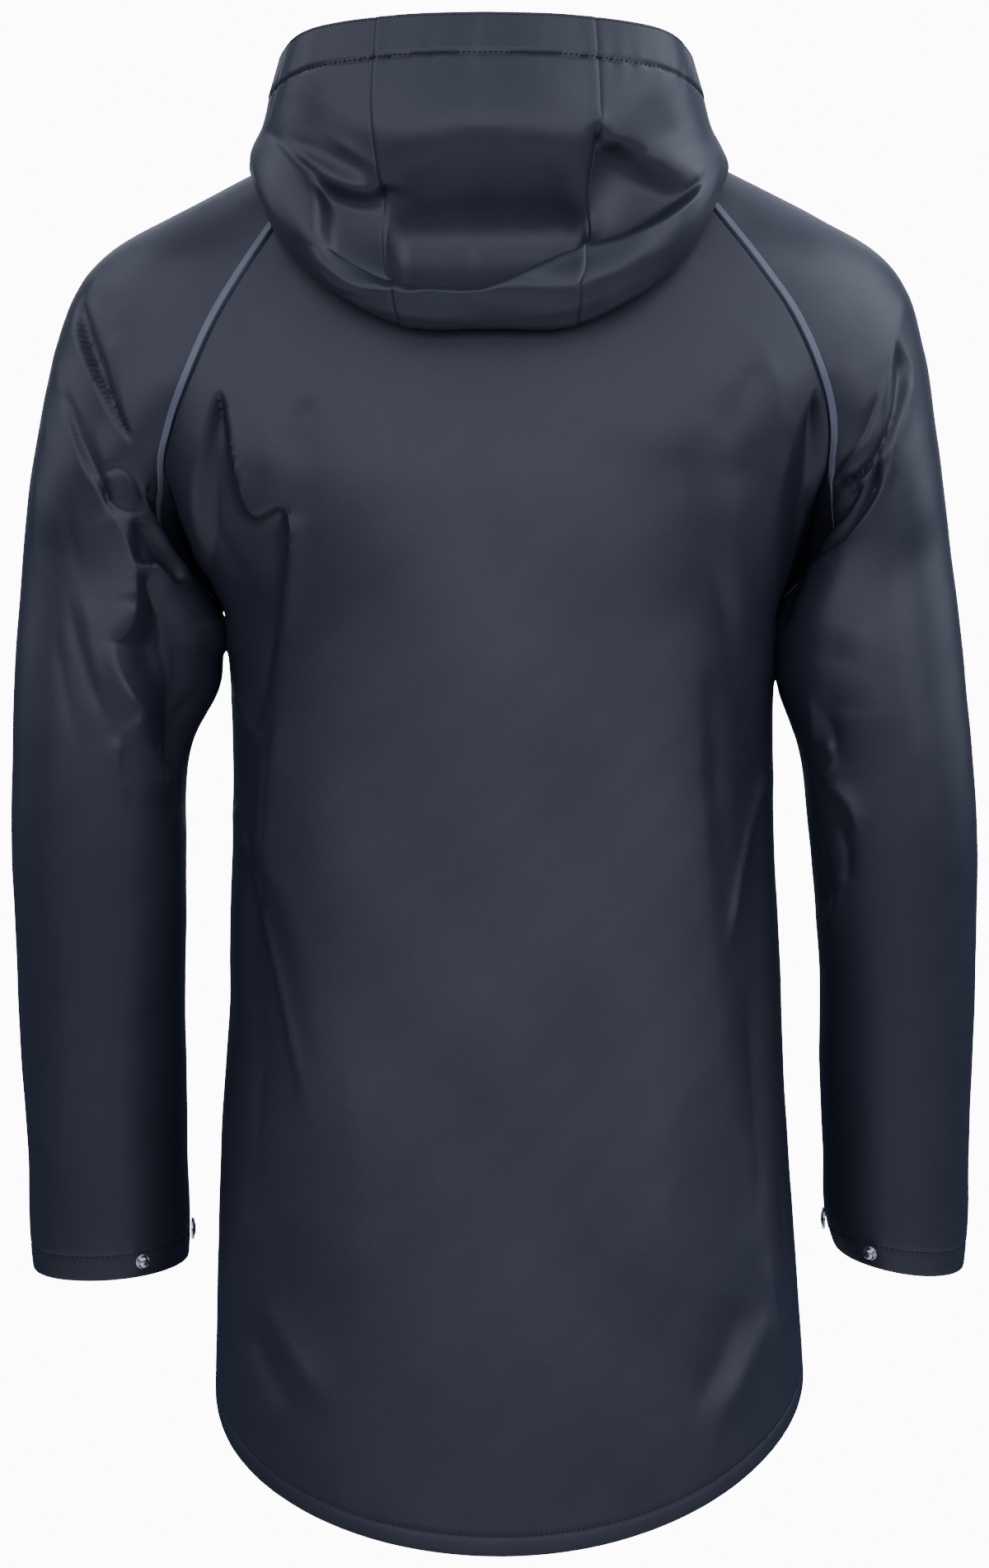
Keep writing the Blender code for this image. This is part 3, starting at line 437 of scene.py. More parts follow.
def hollow(depth, x, z, edge):
    """A place where the cloth falls back, outlined by its corners on the
    elevation.  edge: how far inside each corner the cloth takes to fall, so
    that a small one is a crisp fold and a large one a slow fade."""
    return {"depth": depth, "corners": np.array([x, z, edge], dtype=float).T}


COAT_HOLLOWS = (
    # left armhole gully
    hollow(12,
           x=(268, 261, 250, 243, 235, 245, 255, 264, 270, 272),
           z=(-97, -109, -135, -164, -187, -175, -157, -139, -120, -106),
           edge=(5.8, 10.3, 10.3, 8, 3.6, 3.6, 3.6, 3.6, 3.6, 5.8)),
    # beside the left sleeve's long ridge
    hollow(9,
           x=(279, 269, 258, 248, 250, 261, 270, 277),
           z=(-156, -169, -193, -220, -232, -211, -194, -173),
           edge=(5.8, 11.5, 12.6, 9.2, 3.6, 3.6, 3.6, 3.6)),
    # inside the left finger fold
    hollow(10,
           x=(235, 223, 211, 202, 198, 204, 211, 218, 228, 235),
           z=(-240, -241, -255, -267, -277, -280, -273, -267, -267, -261),
           edge=(10.3, 5.8, 3.6, 3.6, 3.6, 3.6, 3.6, 3.6, 4.6, 9.2)),
    # between the left finger fold and the seam
    hollow(10,
           x=(224, 216, 207, 198, 200, 208, 214, 219, 224),
           z=(-217, -222, -236, -256, -266, -256, -246, -237, -227),
           edge=(4.6, 8, 10.3, 8, 3.6, 3.6, 3.6, 3.6, 3.6)),
    # left inner arm, behind the S ridge
    hollow(30,
           x=(230, 221, 210, 196, 181, 175, 178, 190, 211, 226, 239, 244, 246, 240,
              234, 231),
           z=(-276, -272, -279, -287, -308, -329, -356, -388,
              -401, -365, -343, -328, -317, -310, -303, -292),
           edge=(20, 20, 20, 20, 22, 22, 22, 24, 24, 26, 26, 26, 26, 24, 22, 20)),
    # left drape of the back
    hollow(15,
           x=(179, 175, 172, 170, 166, 162, 156, 149, 142, 137, 135,
              135, 139, 142, 146, 156, 166, 171, 181, 192, 195, 190, 184),
           z=(-157, -164, -179, -198, -220, -232, -237, -234, -230, -234, -244,
              -265, -295, -324, -356, -372, -356, -324, -292, -254, -222, -190, -166),
           edge=(5.6, 5.6, 5.6, 5.6, 5, 5, 5, 5, 5, 5, 5,
                 5.6, 6.4, 9.6, 19.2, 40, 36, 28, 20, 11.2, 8, 7.2, 6.4)),
    # right side of the back falls away
    hollow(9,
           x=(-142, -137, -135, -137, -141, -147, -154, -167, -182, -181, -180,
              -180, -178, -165),
           z=(-270, -329, -383, -436, -500, -564, -629, -693, -671, -586, -490,
              -409, -356, -308),
           edge=(30, 24, 20, 18, 18, 24, 40, 60, 40, 14, 9, 9, 12, 22)),
    # left side of the back falls away
    hollow(9,
           x=(162, 147, 135, 125, 125, 136, 157, 170, 169, 167),
           z=(-441, -468, -500, -543, -597, -661, -693, -671, -564, -490),
           edge=(9, 15, 18, 24, 32, 50, 60, 34, 12, 9)),
    # right drape of the back
    hollow(20,
           x=(-209, -213, -216, -216, -214, -206, -188, -183, -184, -187, -192,
              -197, -204),
           z=(-157, -164, -182, -206, -233, -265, -308, -286, -251, -222, -201,
              -182, -165),
           edge=(6, 6, 6, 6, 8, 10, 16, 22, 22, 18, 14, 10, 7)),
    # right armhole gully
    hollow(12,
           x=(-260, -266, -270, -268, -262, -255, -247, -237,
              -226, -219, -232, -242, -250, -256, -258, -258),
           z=(-124, -130, -142, -156, -173, -189, -203, -213,
              -217, -213, -207, -196, -185, -169, -150, -135),
           edge=(10, 7, 3.6, 3.6, 3.6, 3.6, 3.6, 3.6, 3.6, 3.6, 6.9, 9.2, 10.3,
                 10.3, 9, 10)),
    # behind the right sleeve's long ridge
    hollow(12,
           x=(-249, -252, -250, -243, -234, -227, -217, -208, -206, -218, -229,
              -238, -244),
           z=(-198, -204, -218, -231, -243, -251, -258, -266, -261, -248, -236,
              -224, -210),
           edge=(3.6, 3.6, 3.6, 3.6, 3.6, 3.6, 3.6, 3.6, 3.6, 6.9, 9.2, 9.2, 8)),
    # behind the right finger fold
    hollow(10,
           x=(-239, -236, -229, -218, -209, -203, -207, -215, -224, -232),
           z=(-216, -225, -235, -246, -255, -259, -248, -234, -224, -218),
           edge=(3.6, 3.6, 3.6, 3.6, 3.6, 3.6, 5.8, 6.9, 6.9, 4.6)),
    # above the right armhole fold
    hollow(8,
           x=(-249, -249, -243, -234, -227, -219, -218, -228, -239),
           z=(-158, -166, -183, -194, -202, -212, -204, -188, -170),
           edge=(10.3, 3.6, 3.6, 3.6, 3.6, 3.6, 9.2, 14.9, 14.9)),
)
HOOD_HOLLOWS = (
    # under the roll's lip
    hollow(14,
           x=(65, 21, -21, -60, -57, -43, -25, -7, 16, 43, 64, 72),
           z=(-41, -33, -32, -36, -60, -66, -74, -82, -90, -88, -86, -62),
           edge=(20, 34, 34, 24, 5, 4, 3.6, 3.6, 4, 4.4, 5, 10)),
    # pocket on the right
    hollow(24,
           x=(-65, -74, -84, -96, -109, -121, -131, -129, -118, -105, -91, -80, -61,
              -54, -57),
           z=(19, 7, 4, -3, -11, -16, -22, -29, -38, -46, -51, -55, -59, -41, -8),
           edge=(13.5, 9, 9, 9, 9, 8, 7, 6, 6, 6, 6, 6, 6, 30, 30)),
    # pocket under the left hook
    hollow(18,
           x=(116, 107, 94, 81, 70, 54, 62, 77, 89, 102, 114, 114, 112),
           z=(-20, -20, -26, -28, -23, -41, -83, -87, -86, -78, -65, -52, -36),
           edge=(5, 5, 5, 5, 6, 36, 9, 5, 5, 5, 5, 5, 5)),
    # hollow across the middle
    hollow(25,
           x=(70, 43, 0, -48, -64, -57, -43, -25, -7, 16, 43, 62),
           z=(-23, 3, 8, -3, -41, -60, -65, -73, -81, -89, -87, -85),
           edge=(30, 64, 80, 50, 20, 6, 5.4, 5.4, 5.4, 5.4, 6, 7)),
    # crease from the left corner
    hollow(4.5,
           x=(149, 134, 116, 96, 74, 81, 96, 109, 120, 134),
           z=(13, 4, -10, -17, -16, -23, -20, -16, -16, -3),
           edge=(5, 9, 9, 9, 9, 5, 5, 5, 5, 5)),
)


def sleeve_rows(side):
    """Sleeve sections from the neck to the cuff, with their stations: 0 is
    the neck, 1 the underarm and 2 the cuff."""
    shoulder, arm = SHOULDER[side], ARM[side]
    closed = np.full(len(arm["mid_y"]), 90.0)
    below = {
        "crown_x": arm["outer_x"], "crown_z": arm["outer_z"],
        "mid_y": arm["mid_y"],
        "back_x": arm["inner_x"], "back_z": arm["inner_z"],
        "back_depth": arm["depth"], "back_turn": closed,
        "front_x": arm["inner_x"], "front_z": arm["inner_z"],
        "front_depth": arm["depth"], "front_turn": closed,
    }
    rows = {name: np.concatenate([shoulder[name], below[name]])
            for name in shoulder}
    rows["lean"] = np.gradient(rows["mid_y"], rows["crown_z"])
    upper = np.linspace(0.0, 1.0, len(shoulder["mid_y"]))
    fall = shoulder["crown_z"][-1] - arm["outer_z"]
    return np.concatenate([upper, 1.0 + fall / fall[-1]]), rows


def sleeve(side, stations, around):
    """Outer surface of a raglan sleeve.  around runs from 0 at the back seam
    (or the inner arm) over the crown at 0.5 to 1 at the front seam."""
    knots, rows = sleeve_rows(side)
    station = np.asarray(stations, dtype=float)[:, None]
    around = np.asarray(around, dtype=float)[None, :]
    at = {name: smooth(knots, values, station)
          for name, values in rows.items()}
    on_back = around <= 0.5

    def pick(name):
        return np.where(on_back, at["back_" + name], at["front_" + name])

    turn = np.where(station >= 1.0, 90.0, np.minimum(pick("turn"), 90.0))
    turn = np.radians(turn)
    depth = pick("depth") * np.where(on_back, 1.0, -1.0)
    share = np.where(on_back, 2 * around, 2 * (1 - around))
    angle = -turn + (math.pi / 2 + turn) * share
    seamward = (1 - np.sin(angle)) / (1 + np.sin(turn))
    x = at["crown_x"] + (pick("x") - at["crown_x"]) * seamward
    z = at["crown_z"] + (pick("z") - at["crown_z"]) * seamward
    swing = depth * np.cos(angle)
    z = z - at["lean"] * swing * soft_step(1.0, 1.4, station)
    return np.stack([OUTWARD[side] * x, at["mid_y"] + swing, z], axis=-1)


def hem_height(face, angle):
    """Height of the body hem, by the angle round from the left side seam."""
    drop = BACK_HEM_DROP if face == "back" else FRONT_HEM_DROP
    left, right = SIDE_HEM_Z["left"], SIDE_HEM_Z["right"]
    at_side = left + (right - left) * crossing(angle)
    left, right = HEM_CORNER["left"], HEM_CORNER["right"]
    roundness = left + (right - left) * crossing(angle)
    return at_side - drop * np.maximum(np.sin(angle), 0.0) ** roundness


def skirt(face, rises, angles):
    """The coat below the underarm.  rises: 0 at the hem, 1 at the underarm."""
    angle = np.asarray(angles)[None, :]
    rise = np.asarray(rises)[:, None]
    hem_z = hem_height(face, angle)
    z = hem_z + (SKIRT["z"][-1] - hem_z) * rise
    left = smooth(SKIRT["z"], SKIRT["left"], z)
    right = smooth(SKIRT["z"], SKIRT["right"], z)
    profile = PROFILE[face]
    depth = smooth(profile["z"], profile["y"], z)
    x = left - (right + left) * crossing(angle)
    return np.stack([x, depth * np.sin(angle), z], axis=-1)


def yoke(face, stations, angles):
    """The panel above the underarm, held by the two raglan seams.
    stations: 1 at the underarm, 0 at the neck."""
    angle = np.asarray(angles)[None, :]
    station = np.asarray(stations)[:, None]
    seam = [0.0] if face == "back" else [1.0]
    left = sleeve("left", stations, seam)
    right = sleeve("right", stations, seam)
    point = left + (right - left) * crossing(angle)[..., None]
    profile = PROFILE[face]
    edge_y = (left[:, :, 1] + right[:, :, 1]) / 2
    edge_z = (left[:, :, 2] + right[:, :, 2]) / 2
    neck_edge_z = SHOULDER["left"][face + "_z"][0]
    dip = profile["z"][-1] - neck_edge_z
    middle_z = edge_z + dip * (1 - station) ** DIP_POWER
    middle_y = smooth(profile["z"], profile["y"], middle_z)
    power = UNDERARM_ARCH + (NECK_ARCH - UNDERARM_ARCH) * soft_step(
        *ARCH_CHANGE, station)
    arch = np.maximum(np.sin(angle), 0.0) ** power
    point[:, :, 1] += (middle_y - edge_y) * arch
    point[:, :, 2] += (middle_z - edge_z) * np.sin(angle) ** 2
    return point


def neck_ring():
    """The neck seam from the centre back round to the front, on the left, as
    azimuths in degrees with reaches and heights."""
    quarter = np.linspace(math.pi / 2, 0.0, 30)
    back = yoke("back", [0.0], quarter)[0]
    over = sleeve("left", [0.0], np.linspace(0.0, 1.0, 30))[0]
    front = yoke("front", [0.0], quarter[::-1])[0]
    ring = np.concatenate([back, over[1:-1], front])
    azimuth = np.degrees(np.arctan2(ring[:, 0], ring[:, 1]))
    return azimuth, np.hypot(ring[:, 0], ring[:, 1]), ring[:, 2]


def across_rails(reaches, heights, station):
    """Smooth curve through a section's seven rails at each point's station.
    Tangents follow the rails' own spacing, so tight folds don't overshoot."""
    rails = np.stack([np.stack(reaches), np.stack(heights)])
    chords = np.diff(rails, axis=1)
    lengths = np.sqrt((chords ** 2).sum(axis=0))[None]
    ways = chords / lengths
    inner = ((ways[:, :-1] * lengths[:, 1:] + ways[:, 1:] * lengths[:, :-1])
             / (lengths[:, 1:] + lengths[:, :-1]))
    slopes = np.concatenate([ways[:, :1], inner, ways[:, -1:]], axis=1)
    last = len(HOOD_STATION) - 2
    span = np.clip(np.searchsorted(HOOD_STATION, station, "right") - 1, 0, last)
    f = ((station - HOOD_STATION[span])
         / (HOOD_STATION[span + 1] - HOOD_STATION[span]))
    spot = tuple(np.indices(station.shape))

    def at(values, rail):
        return values[(slice(None), rail, *spot)]

    chord = at(lengths, span)
    return between(at(rails, span), at(rails, span + 1),
                   at(slopes, span) * chord, at(slopes, span + 1) * chord, f)


def hood_surface(azimuth, station):
    """Points of the hood at azimuths (degrees) and stations of one shape."""
    ring_azimuth, ring_reach, ring_z = neck_ring()
    around = np.abs(azimuth)
    reaches = [np.interp(around, ring_azimuth, ring_reach)]
    heights = [np.interp(around, ring_azimuth, ring_z) + HOOD_LIFT]
    for name in ("crest", "low", "swell", "waist", "brow", "edge"):
        reaches.append(smooth(HOOD["azimuth"], HOOD[name], around))
        heights.append(smooth(HOOD["azimuth"], HOOD[name + "_z"], around))
    reach, z = across_rails(reaches, heights, station)
    angle = np.radians(azimuth)
    lean = HOOD_LEAN * soft_step(0.04, HOOD_STATION[4], station)
    return np.stack([reach * np.sin(angle) + lean, reach * np.cos(angle), z],
                    axis=-1)


# ------------------------------------------------------------ laying out cloth
BACK_COLUMNS = 162
FRONT_COLUMNS = 44
SKIRT_ROWS = 122
YOKE_ROWS = 120
ARM_ROWS = 160
SLEEVE_BACK_COLUMNS = 94
SLEEVE_FRONT_COLUMNS = 40
CROWDING = 0.4         # how much closer rows and columns lie by the underarms
HOOD_CENTRE_COLUMNS = 48
HOOD_SIDE_COLUMNS = 112
HOOD_ROW_STATIONS = (0.0, 0.08, 0.40, 0.52, 0.70, 0.85, 1.0)
HOOD_ROW_COUNTS = (6, 30, 32, 56, 40, 38)
BODY_AROUND = 520.0    # rough widths, to place the columns by the seams
ARM_AROUND = 330.0
HOOD_CENTRE_WIDE = 145.0
HOOD_SIDE_WIDE = 330.0
HOOD_SIDE_POWER = 1.15     # columns of the hood's sides lie closer by the seam
NEAR_EDGE = np.array([0.0, 0.4, 0.8, 1.3, 2.0, 3.0, 4.6])  # close columns there
HOLLOW_BRIM = 8.0      # a hollow's edge reaches this far out at most
HOLLOW_LIP = 0.4       # share of its depth that it falls right at its edge
HOLLOW_RUN = 3.0       # and the widths of edge over which it falls the rest
HEM_ROW_HEIGHTS = (0.0, 1.0, 3.0, 6.0, 9.0, 11.0, 12.0, 12.8, 13.6, 14.6, 17.0)
CUFF_ROW_HEIGHTS = (0.0, 1.0, 3.0, 7.0, 11.0, 14.0, 15.6, 16.4, 17.2, 18.4, 21.0)


def crowded(low, high, count):
    """Steps from low to high that start close and grow wider."""
    share = np.linspace(0.0, 1.0, count)
    return low + (high - low) * share * (1 - CROWDING + CROWDING * share)


def with_close_edges(low, high, count, length, first=True, last=True,
                     crowding=0.0):
    """Steps from low to high, with extra ones close to the seams.  With
    crowding, those in the middle are wider."""
    near = NEAR_EDGE * (high - low) / length
    inner_low = low + (near[-1] if first else 0.0)
    inner_high = high - (near[-1] if last else 0.0)
    share = np.linspace(0.0, 1.0, count)
    share = share - crowding * np.sin(2 * math.pi * share) / (2 * math.pi)
    steps = [inner_low + (inner_high - inner_low) * share]
    if first:
        steps.insert(0, low + near[:-1])
    if last:
        steps.append(high - near[:-1][::-1])
    return np.concatenate(steps)


class Cloth:
    """A cut piece of cloth: a grid of outer points in millimetres.  Columns
    run left to right seen from outside and rows run upward.  The first
    closed_rows rows are rings, whose last point is their first."""

    def __init__(self, name, grid, closed_rows=0):
        self.name = name
        self.grid = grid
        self.closed_rows = closed_rows
        self.thickness = np.full(grid.shape[:2], CLOTH)
        self.looseness = np.ones(grid.shape[:2])
        self.measure()
        self.find_normals()

    def measure(self):
        """Distances over the cloth from each of its four edges."""
        rows, columns = self.grid.shape[:2]
        up = np.linalg.norm(np.diff(self.grid, axis=0), axis=-1)
        across = np.linalg.norm(np.diff(self.grid, axis=1), axis=-1)
        nothing_up, nothing_across = np.zeros((1, columns)), np.zeros((rows, 1))
        self.from_bottom = np.concatenate([nothing_up, np.cumsum(up, 0)])
        self.from_top = self.from_bottom[-1:] - self.from_bottom
        self.from_first = np.concatenate([nothing_across, np.cumsum(across, 1)], 1)
        self.from_last = self.from_first[:, -1:] - self.from_first

    def find_normals(self):
        grid, closed = self.grid, self.closed_rows
        across = np.gradient(grid, axis=1)
        if closed:
            seam = (grid[:closed, 1] - grid[:closed, -2]) / 2
            across[:closed, 0] = seam
            across[:closed, -1] = seam
        normals = np.cross(across, np.gradient(grid, axis=0))
        length = np.linalg.norm(normals, axis=-1, keepdims=True)
        self.normals = normals / np.maximum(length, 1e-9)

    def ease_join(self, join, reach=90.0, passes=140):
        """Round off the turn in the cloth at one row, away from its seams."""
        beside = np.minimum(self.from_first, self.from_last)
        away = np.abs(self.from_bottom - self.from_bottom[join])
        give = 0.5 * soft_step(4.0, 50.0, beside) * soft_step(reach, reach / 2, away)
        for _ in range(passes):
            middle = (self.grid[:-2] + self.grid[2:]) / 2 - self.grid[1:-1]
            self.grid[1:-1] += middle * give[1:-1, :, None]
        self.measure()

    def press(self, relief):
        self.grid = self.grid + self.normals * relief[..., None]


def share_edge_normals(cloths):
    """Pieces that meet along an edge get one normal at each shared point."""
    totals = {}
    edges = []
    for cloth in cloths:
        cloth.find_normals()
        rows, columns = cloth.grid.shape[:2]
        edges.append([(r, c) for r in range(rows) for c in (0, columns - 1)]
                     + [(r, c) for r in (0, rows - 1) for c in range(1, columns - 1)])
    for cloth, places in zip(cloths, edges):
        for place in places:
            key = tuple(np.round(cloth.grid[place], 2) + 0.0)
            totals[key] = totals.get(key, 0) + cloth.normals[place]
    for cloth, places in zip(cloths, edges):
        for place in places:
            total = totals[tuple(np.round(cloth.grid[place], 2) + 0.0)]
            cloth.normals[place] = total / np.linalg.norm(total)


# ---------------------------------------------------------- folds and relief
def on_elevation(points):
    """Where points show on the back elevation, drawn at the middle plane."""
    nearness = EYE_AWAY / (EYE_AWAY - points[..., 1])
    return np.stack([points[..., 0] * nearness,
                     EYE_Z + (points[..., 2] - EYE_Z) * nearness], axis=-1)


def crease_path(rows, k, pieces=9):
    """A crease's curve through its three given places."""
    start, middle, end = (np.array([rows["x%d" % n][k], rows["z%d" % n][k]])
                          for n in range(3))
    handle = 2 * middle - (start + end) / 2
    t = np.linspace(0.0, 1.0, pieces + 1)[:, None]
    return (1 - t) ** 2 * start + 2 * t * (1 - t) * handle + t ** 2 * end


def crest(reach):
    """Section of a crease: a soft crest with long flanks, as coated cloth
    has.  reach: distance from the crest in half widths."""
    return np.exp(-1.5 * (np.sqrt(reach ** 2 + 0.06) - 0.245))


def beside_run(spots, start, end):
    """Each spot's offset from the start of a straight run, the share of the
    run that it lies beside, and its distance."""
    run, offset = end - start, spots - start
    f = np.clip(offset @ run / max(run @ run, 1e-9), 0.0, 1.0)
    return run, offset, f, np.hypot(*(offset - f[:, None] * run).T)


def crease_relief(spots, facing, rows):
    """Push along the normal from a table of creases.  spots: places on the
    elevation.  facing: how squarely the cloth faces that side."""
    relief = np.zeros(facing.shape)
    seen = soft_step(-0.35, 0.25, facing)
    for k in range(len(rows["x0"])):
        path = crease_path(rows, k)
        reach = 3.6 * max(rows["left"][k], rows["right"][k])
        low, high = path.min(0) - reach, path.max(0) + reach
        near = np.all((spots > low) & (spots < high), axis=-1) & (seen > 0)
        if not near.any():
            continue
        here = spots[near]
        best = np.full(len(here), np.inf)
        side, share = np.zeros(len(here)), np.zeros(len(here))
        for n in range(len(path) - 1):
            run, offset, f, distance = beside_run(here, path[n], path[n + 1])
            closer = distance < best
            turn = run[0] * offset[:, 1] - run[1] * offset[:, 0]
            best = np.where(closer, distance, best)
            side = np.where(closer, turn, side)
            share = np.where(closer, (n + f) / (len(path) - 1), share)
        width = np.where(side > 0, rows["left"][k], rows["right"][k])
        blunt = rows["blunt"][k]
        ends = (soft_step(0.0, blunt, share) * 0.85 + 0.15) * (
            soft_step(1.0, 1.0 - blunt, share) * 0.85 + 0.15)
        relief[near] += rows["rise"][k] * ends * crest(best / width) * seen[near]
    return relief


def rounded_outline(corners, steps=6):
    """Closed smooth curve through the corners of a hollow, edges included."""
    before, after = np.roll(corners, 1, axis=0), np.roll(corners, -1, axis=0)
    beyond = np.roll(corners, -2, axis=0)
    t = np.linspace(0.0, 1.0, steps, endpoint=False)[:, None, None]
    curve = 0.5 * (2 * corners + (after - before) * t
                   + (2 * before - 5 * corners + 4 * after - beyond) * t ** 2
                   + (3 * corners - before - 3 * after + beyond) * t ** 3)
    outline = curve.transpose(1, 0, 2).reshape(-1, 3)
    outline[:, 2] = np.maximum(outline[:, 2], corners[:, 2].min())
    return outline


def hollow_relief(spots, facing, hollows, turned):
    """Push in the cloth inside each hollow's outline.  turned: how squarely
    the cloth faces that side where it starts to sink, and where it sinks
    in full."""
    relief = np.zeros(facing.shape)
    seen = soft_step(*turned, facing)
    for place in hollows:
        outline = rounded_outline(place["corners"])
        low = outline[:, :2].min(axis=0) - HOLLOW_BRIM
        high = outline[:, :2].max(axis=0) + HOLLOW_BRIM
        near = np.all((spots > low) & (spots < high), axis=-1) & (seen > 0)
        here = spots[near]
        best = np.full(len(here), np.inf)
        inside = np.zeros(len(here), bool)
        for start, end in zip(outline, np.roll(outline, -1, axis=0)):
            run, offset, f, gap = beside_run(here, start[:2], end[:2])
            best = np.minimum(best, gap / (start[2] + (end[2] - start[2]) * f))
            crosses = (start[1] > here[:, 1]) != (end[1] > here[:, 1])
            level = run[1] if run[1] else 1e-9
            inside ^= crosses & (offset[:, 0] < run[0] * offset[:, 1] / level)
        within = np.where(inside, best, -best)
        deeper = 1 - np.exp(-np.maximum(within, 0.0) / HOLLOW_RUN)
        fall = (HOLLOW_LIP * soft_step(-0.3, 1.0, within)
                + (1 - HOLLOW_LIP) * deeper)
        relief[near] -= place["depth"] * fall * seen[near]
    return relief


def unevenness(points):
    """Slow swells that keep the cloth from being drawn too clean."""
    x, y, z = points[..., 0], points[..., 1], points[..., 2]
    return (0.55 * np.sin(x / 31 + 1.7 * np.sin(z / 83)) * np.sin(z / 47 + y / 39)
            + 0.35 * np.sin(x / 17 - z / 29 + 2.0) * np.sin(z / 71 - 1.0)
            + 0.12 * np.sin(x / 8.3 + z / 11.7) * np.sin(z / 23 + y / 13))


def pucker(cloth, across, reach=7.0):
    """Little gathers beside a line of stitches, none at a piece's ends."""
    along = cloth.from_first
    ends = soft_step(0.0, 6.0, np.minimum(cloth.from_first, cloth.from_last))
    gathers = (np.sin(along / 2.3 + 1.6 * np.sin(along / 19.0))
               * (0.55 + 0.45 * np.sin(along / 37.0 + 1.0)))
    return gathers * ends * np.exp(-np.abs(across) / reach)


def eased(relief, passes=3):
    """The relief with its finest steps smoothed away."""
    for _ in range(passes):
        relief = relief.copy()
        relief[1:-1] += (relief[:-2] + relief[2:] - 2 * relief[1:-1]) / 4
        relief[:, 1:-1] += (relief[:, :-2] + relief[:, 2:] - 2 * relief[:, 1:-1]) / 4
    return relief


def groove(distance, depth, width):
    return -depth * np.exp(-(distance / width) ** 2)


def seam_dip(cloth, depth, first=True, last=True):
    """The dark line where two panels are joined."""
    dip = np.zeros(cloth.grid.shape[:2])
    open_rows = np.arange(cloth.grid.shape[0])[:, None] >= cloth.closed_rows
    if first:
        dip += groove(cloth.from_first, depth, SEAM_DIP_WIDTH)
    if last:
        dip += groove(cloth.from_last, depth, SEAM_DIP_WIDTH)
    return dip * open_rows


def stand_back(cloth, first=0.0, last=0.0, top=0.0):
    """Move edges in, square to the edge, to leave the seam's gap."""
    grid, closed = cloth.grid, cloth.closed_rows
    moved = grid.copy()
    every = slice(None)
    rows = slice(closed, None)
    edges = ((first, (rows, 0), (rows, 1)), (last, (rows, -1), (rows, -2)),
             (top, (-1, every), (-2, every)))
    for gap, edge, neighbour in edges:
        if not gap:
            continue
        line = unit(np.gradient(grid[edge], axis=0))
        way = grid[neighbour] - grid[edge]
        way = way - line * np.sum(way * line, axis=-1, keepdims=True)
        moved[edge] += unit(way) * gap
    cloth.grid = moved


# -------------------------------------------------------------- making meshes
def finish_mesh(name, points, faces, finishes, face_finish=None):
    """Mesh object in metres from points in millimetres, in its place."""
    mesh = bpy.data.meshes.new(name)
    mesh.from_pydata((np.asarray(points) / 1000).tolist(), [], faces)
    for finish in finishes:
        mesh.materials.append(finish)
    if face_finish is not None:
        mesh.polygons.foreach_set("material_index", face_finish)
    mesh.polygons.foreach_set("use_smooth", [True] * len(mesh.polygons))
    mesh.update()
    mesh.set_sharp_from_angle(angle=math.radians(50))
    piece = bpy.data.objects.new(name, mesh)
    bpy.context.scene.collection.objects.link(piece)
    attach(piece, "root")
    return piece


def sew_up(cloth, outside, inside):
    """Closed shell of a piece of cloth, coated outside and knit inside."""
    rows, columns = cloth.grid.shape[:2]
    inner = cloth.grid - cloth.normals * cloth.thickness[..., None]
    points = np.concatenate([cloth.grid.reshape(-1, 3), inner.reshape(-1, 3)])
    depth = rows * columns
    number = np.arange(depth).reshape(rows, columns)
    number[:cloth.closed_rows, -1] = number[:cloth.closed_rows, 0]
    outer = np.stack([number[:-1, :-1], number[:-1, 1:],
                      number[1:, 1:], number[1:, :-1]], axis=-1).reshape(-1, 4)
    under = outer[:, ::-1] + depth
    rim = [(number[0, c], number[0, c + 1]) for c in range(columns - 1)]
    rim += [(number[-1, c + 1], number[-1, c]) for c in range(columns - 1)]
    for r in range(max(cloth.closed_rows - 1, 0), rows - 1):
        rim.append((number[r, -1], number[r + 1, -1]))
        rim.append((number[r + 1, 0], number[r, 0]))
    rim = np.array(rim)
    edge = np.stack([rim[:, 1], rim[:, 0], rim[:, 0] + depth, rim[:, 1] + depth], 1)
    faces = np.concatenate([outer, under, edge])
    used, faces = np.unique(faces, return_inverse=True)
    faces = faces.reshape(-1, 4)
    kinds = np.concatenate([np.zeros(len(outer)), np.ones(len(under)),
                            np.zeros(len(edge))]).astype(int)
    return finish_mesh(cloth.name + "_cloth", points[used], faces.tolist(),
                       (outside, inside), kinds.tolist())


def run_along(points, normals, spacing, sight=0.8):
    """Even places along a line of points, with the normal and the way on,
    taken from sight before to sight behind."""
    steps = np.linalg.norm(np.diff(points, axis=0), axis=-1)
    along = np.concatenate([[0.0], np.cumsum(steps)])
    count = max(int(along[-1] / spacing), 1)
    at = (np.arange(count) + 0.5) * along[-1] / count
    ways = read_at(at + sight, along, points) - read_at(at - sight, along, points)
    return (read_at(at, along, points), unit(read_at(at, along, normals)),
            unit(ways))


def stitch_shape():
    """One stitch, modelled once: a short thread that dives at both ends."""
    bpy.ops.object.select_all(action="DESELECT")
    bpy.ops.mesh.primitive_uv_sphere_add(segments=6, ring_count=4, radius=0.5)
    stitch = bpy.context.object
    corners = np.array([tuple(v.co) for v in stitch.data.vertices])
    faces = [list(p.vertices) for p in stitch.data.polygons]
    bpy.data.objects.remove(stitch)
    corners = corners[:, [2, 0, 1]]          # its length along the first axis
    corners[:, 2] -= 0.25 * (2 * corners[:, 0]) ** 2
    return corners, faces


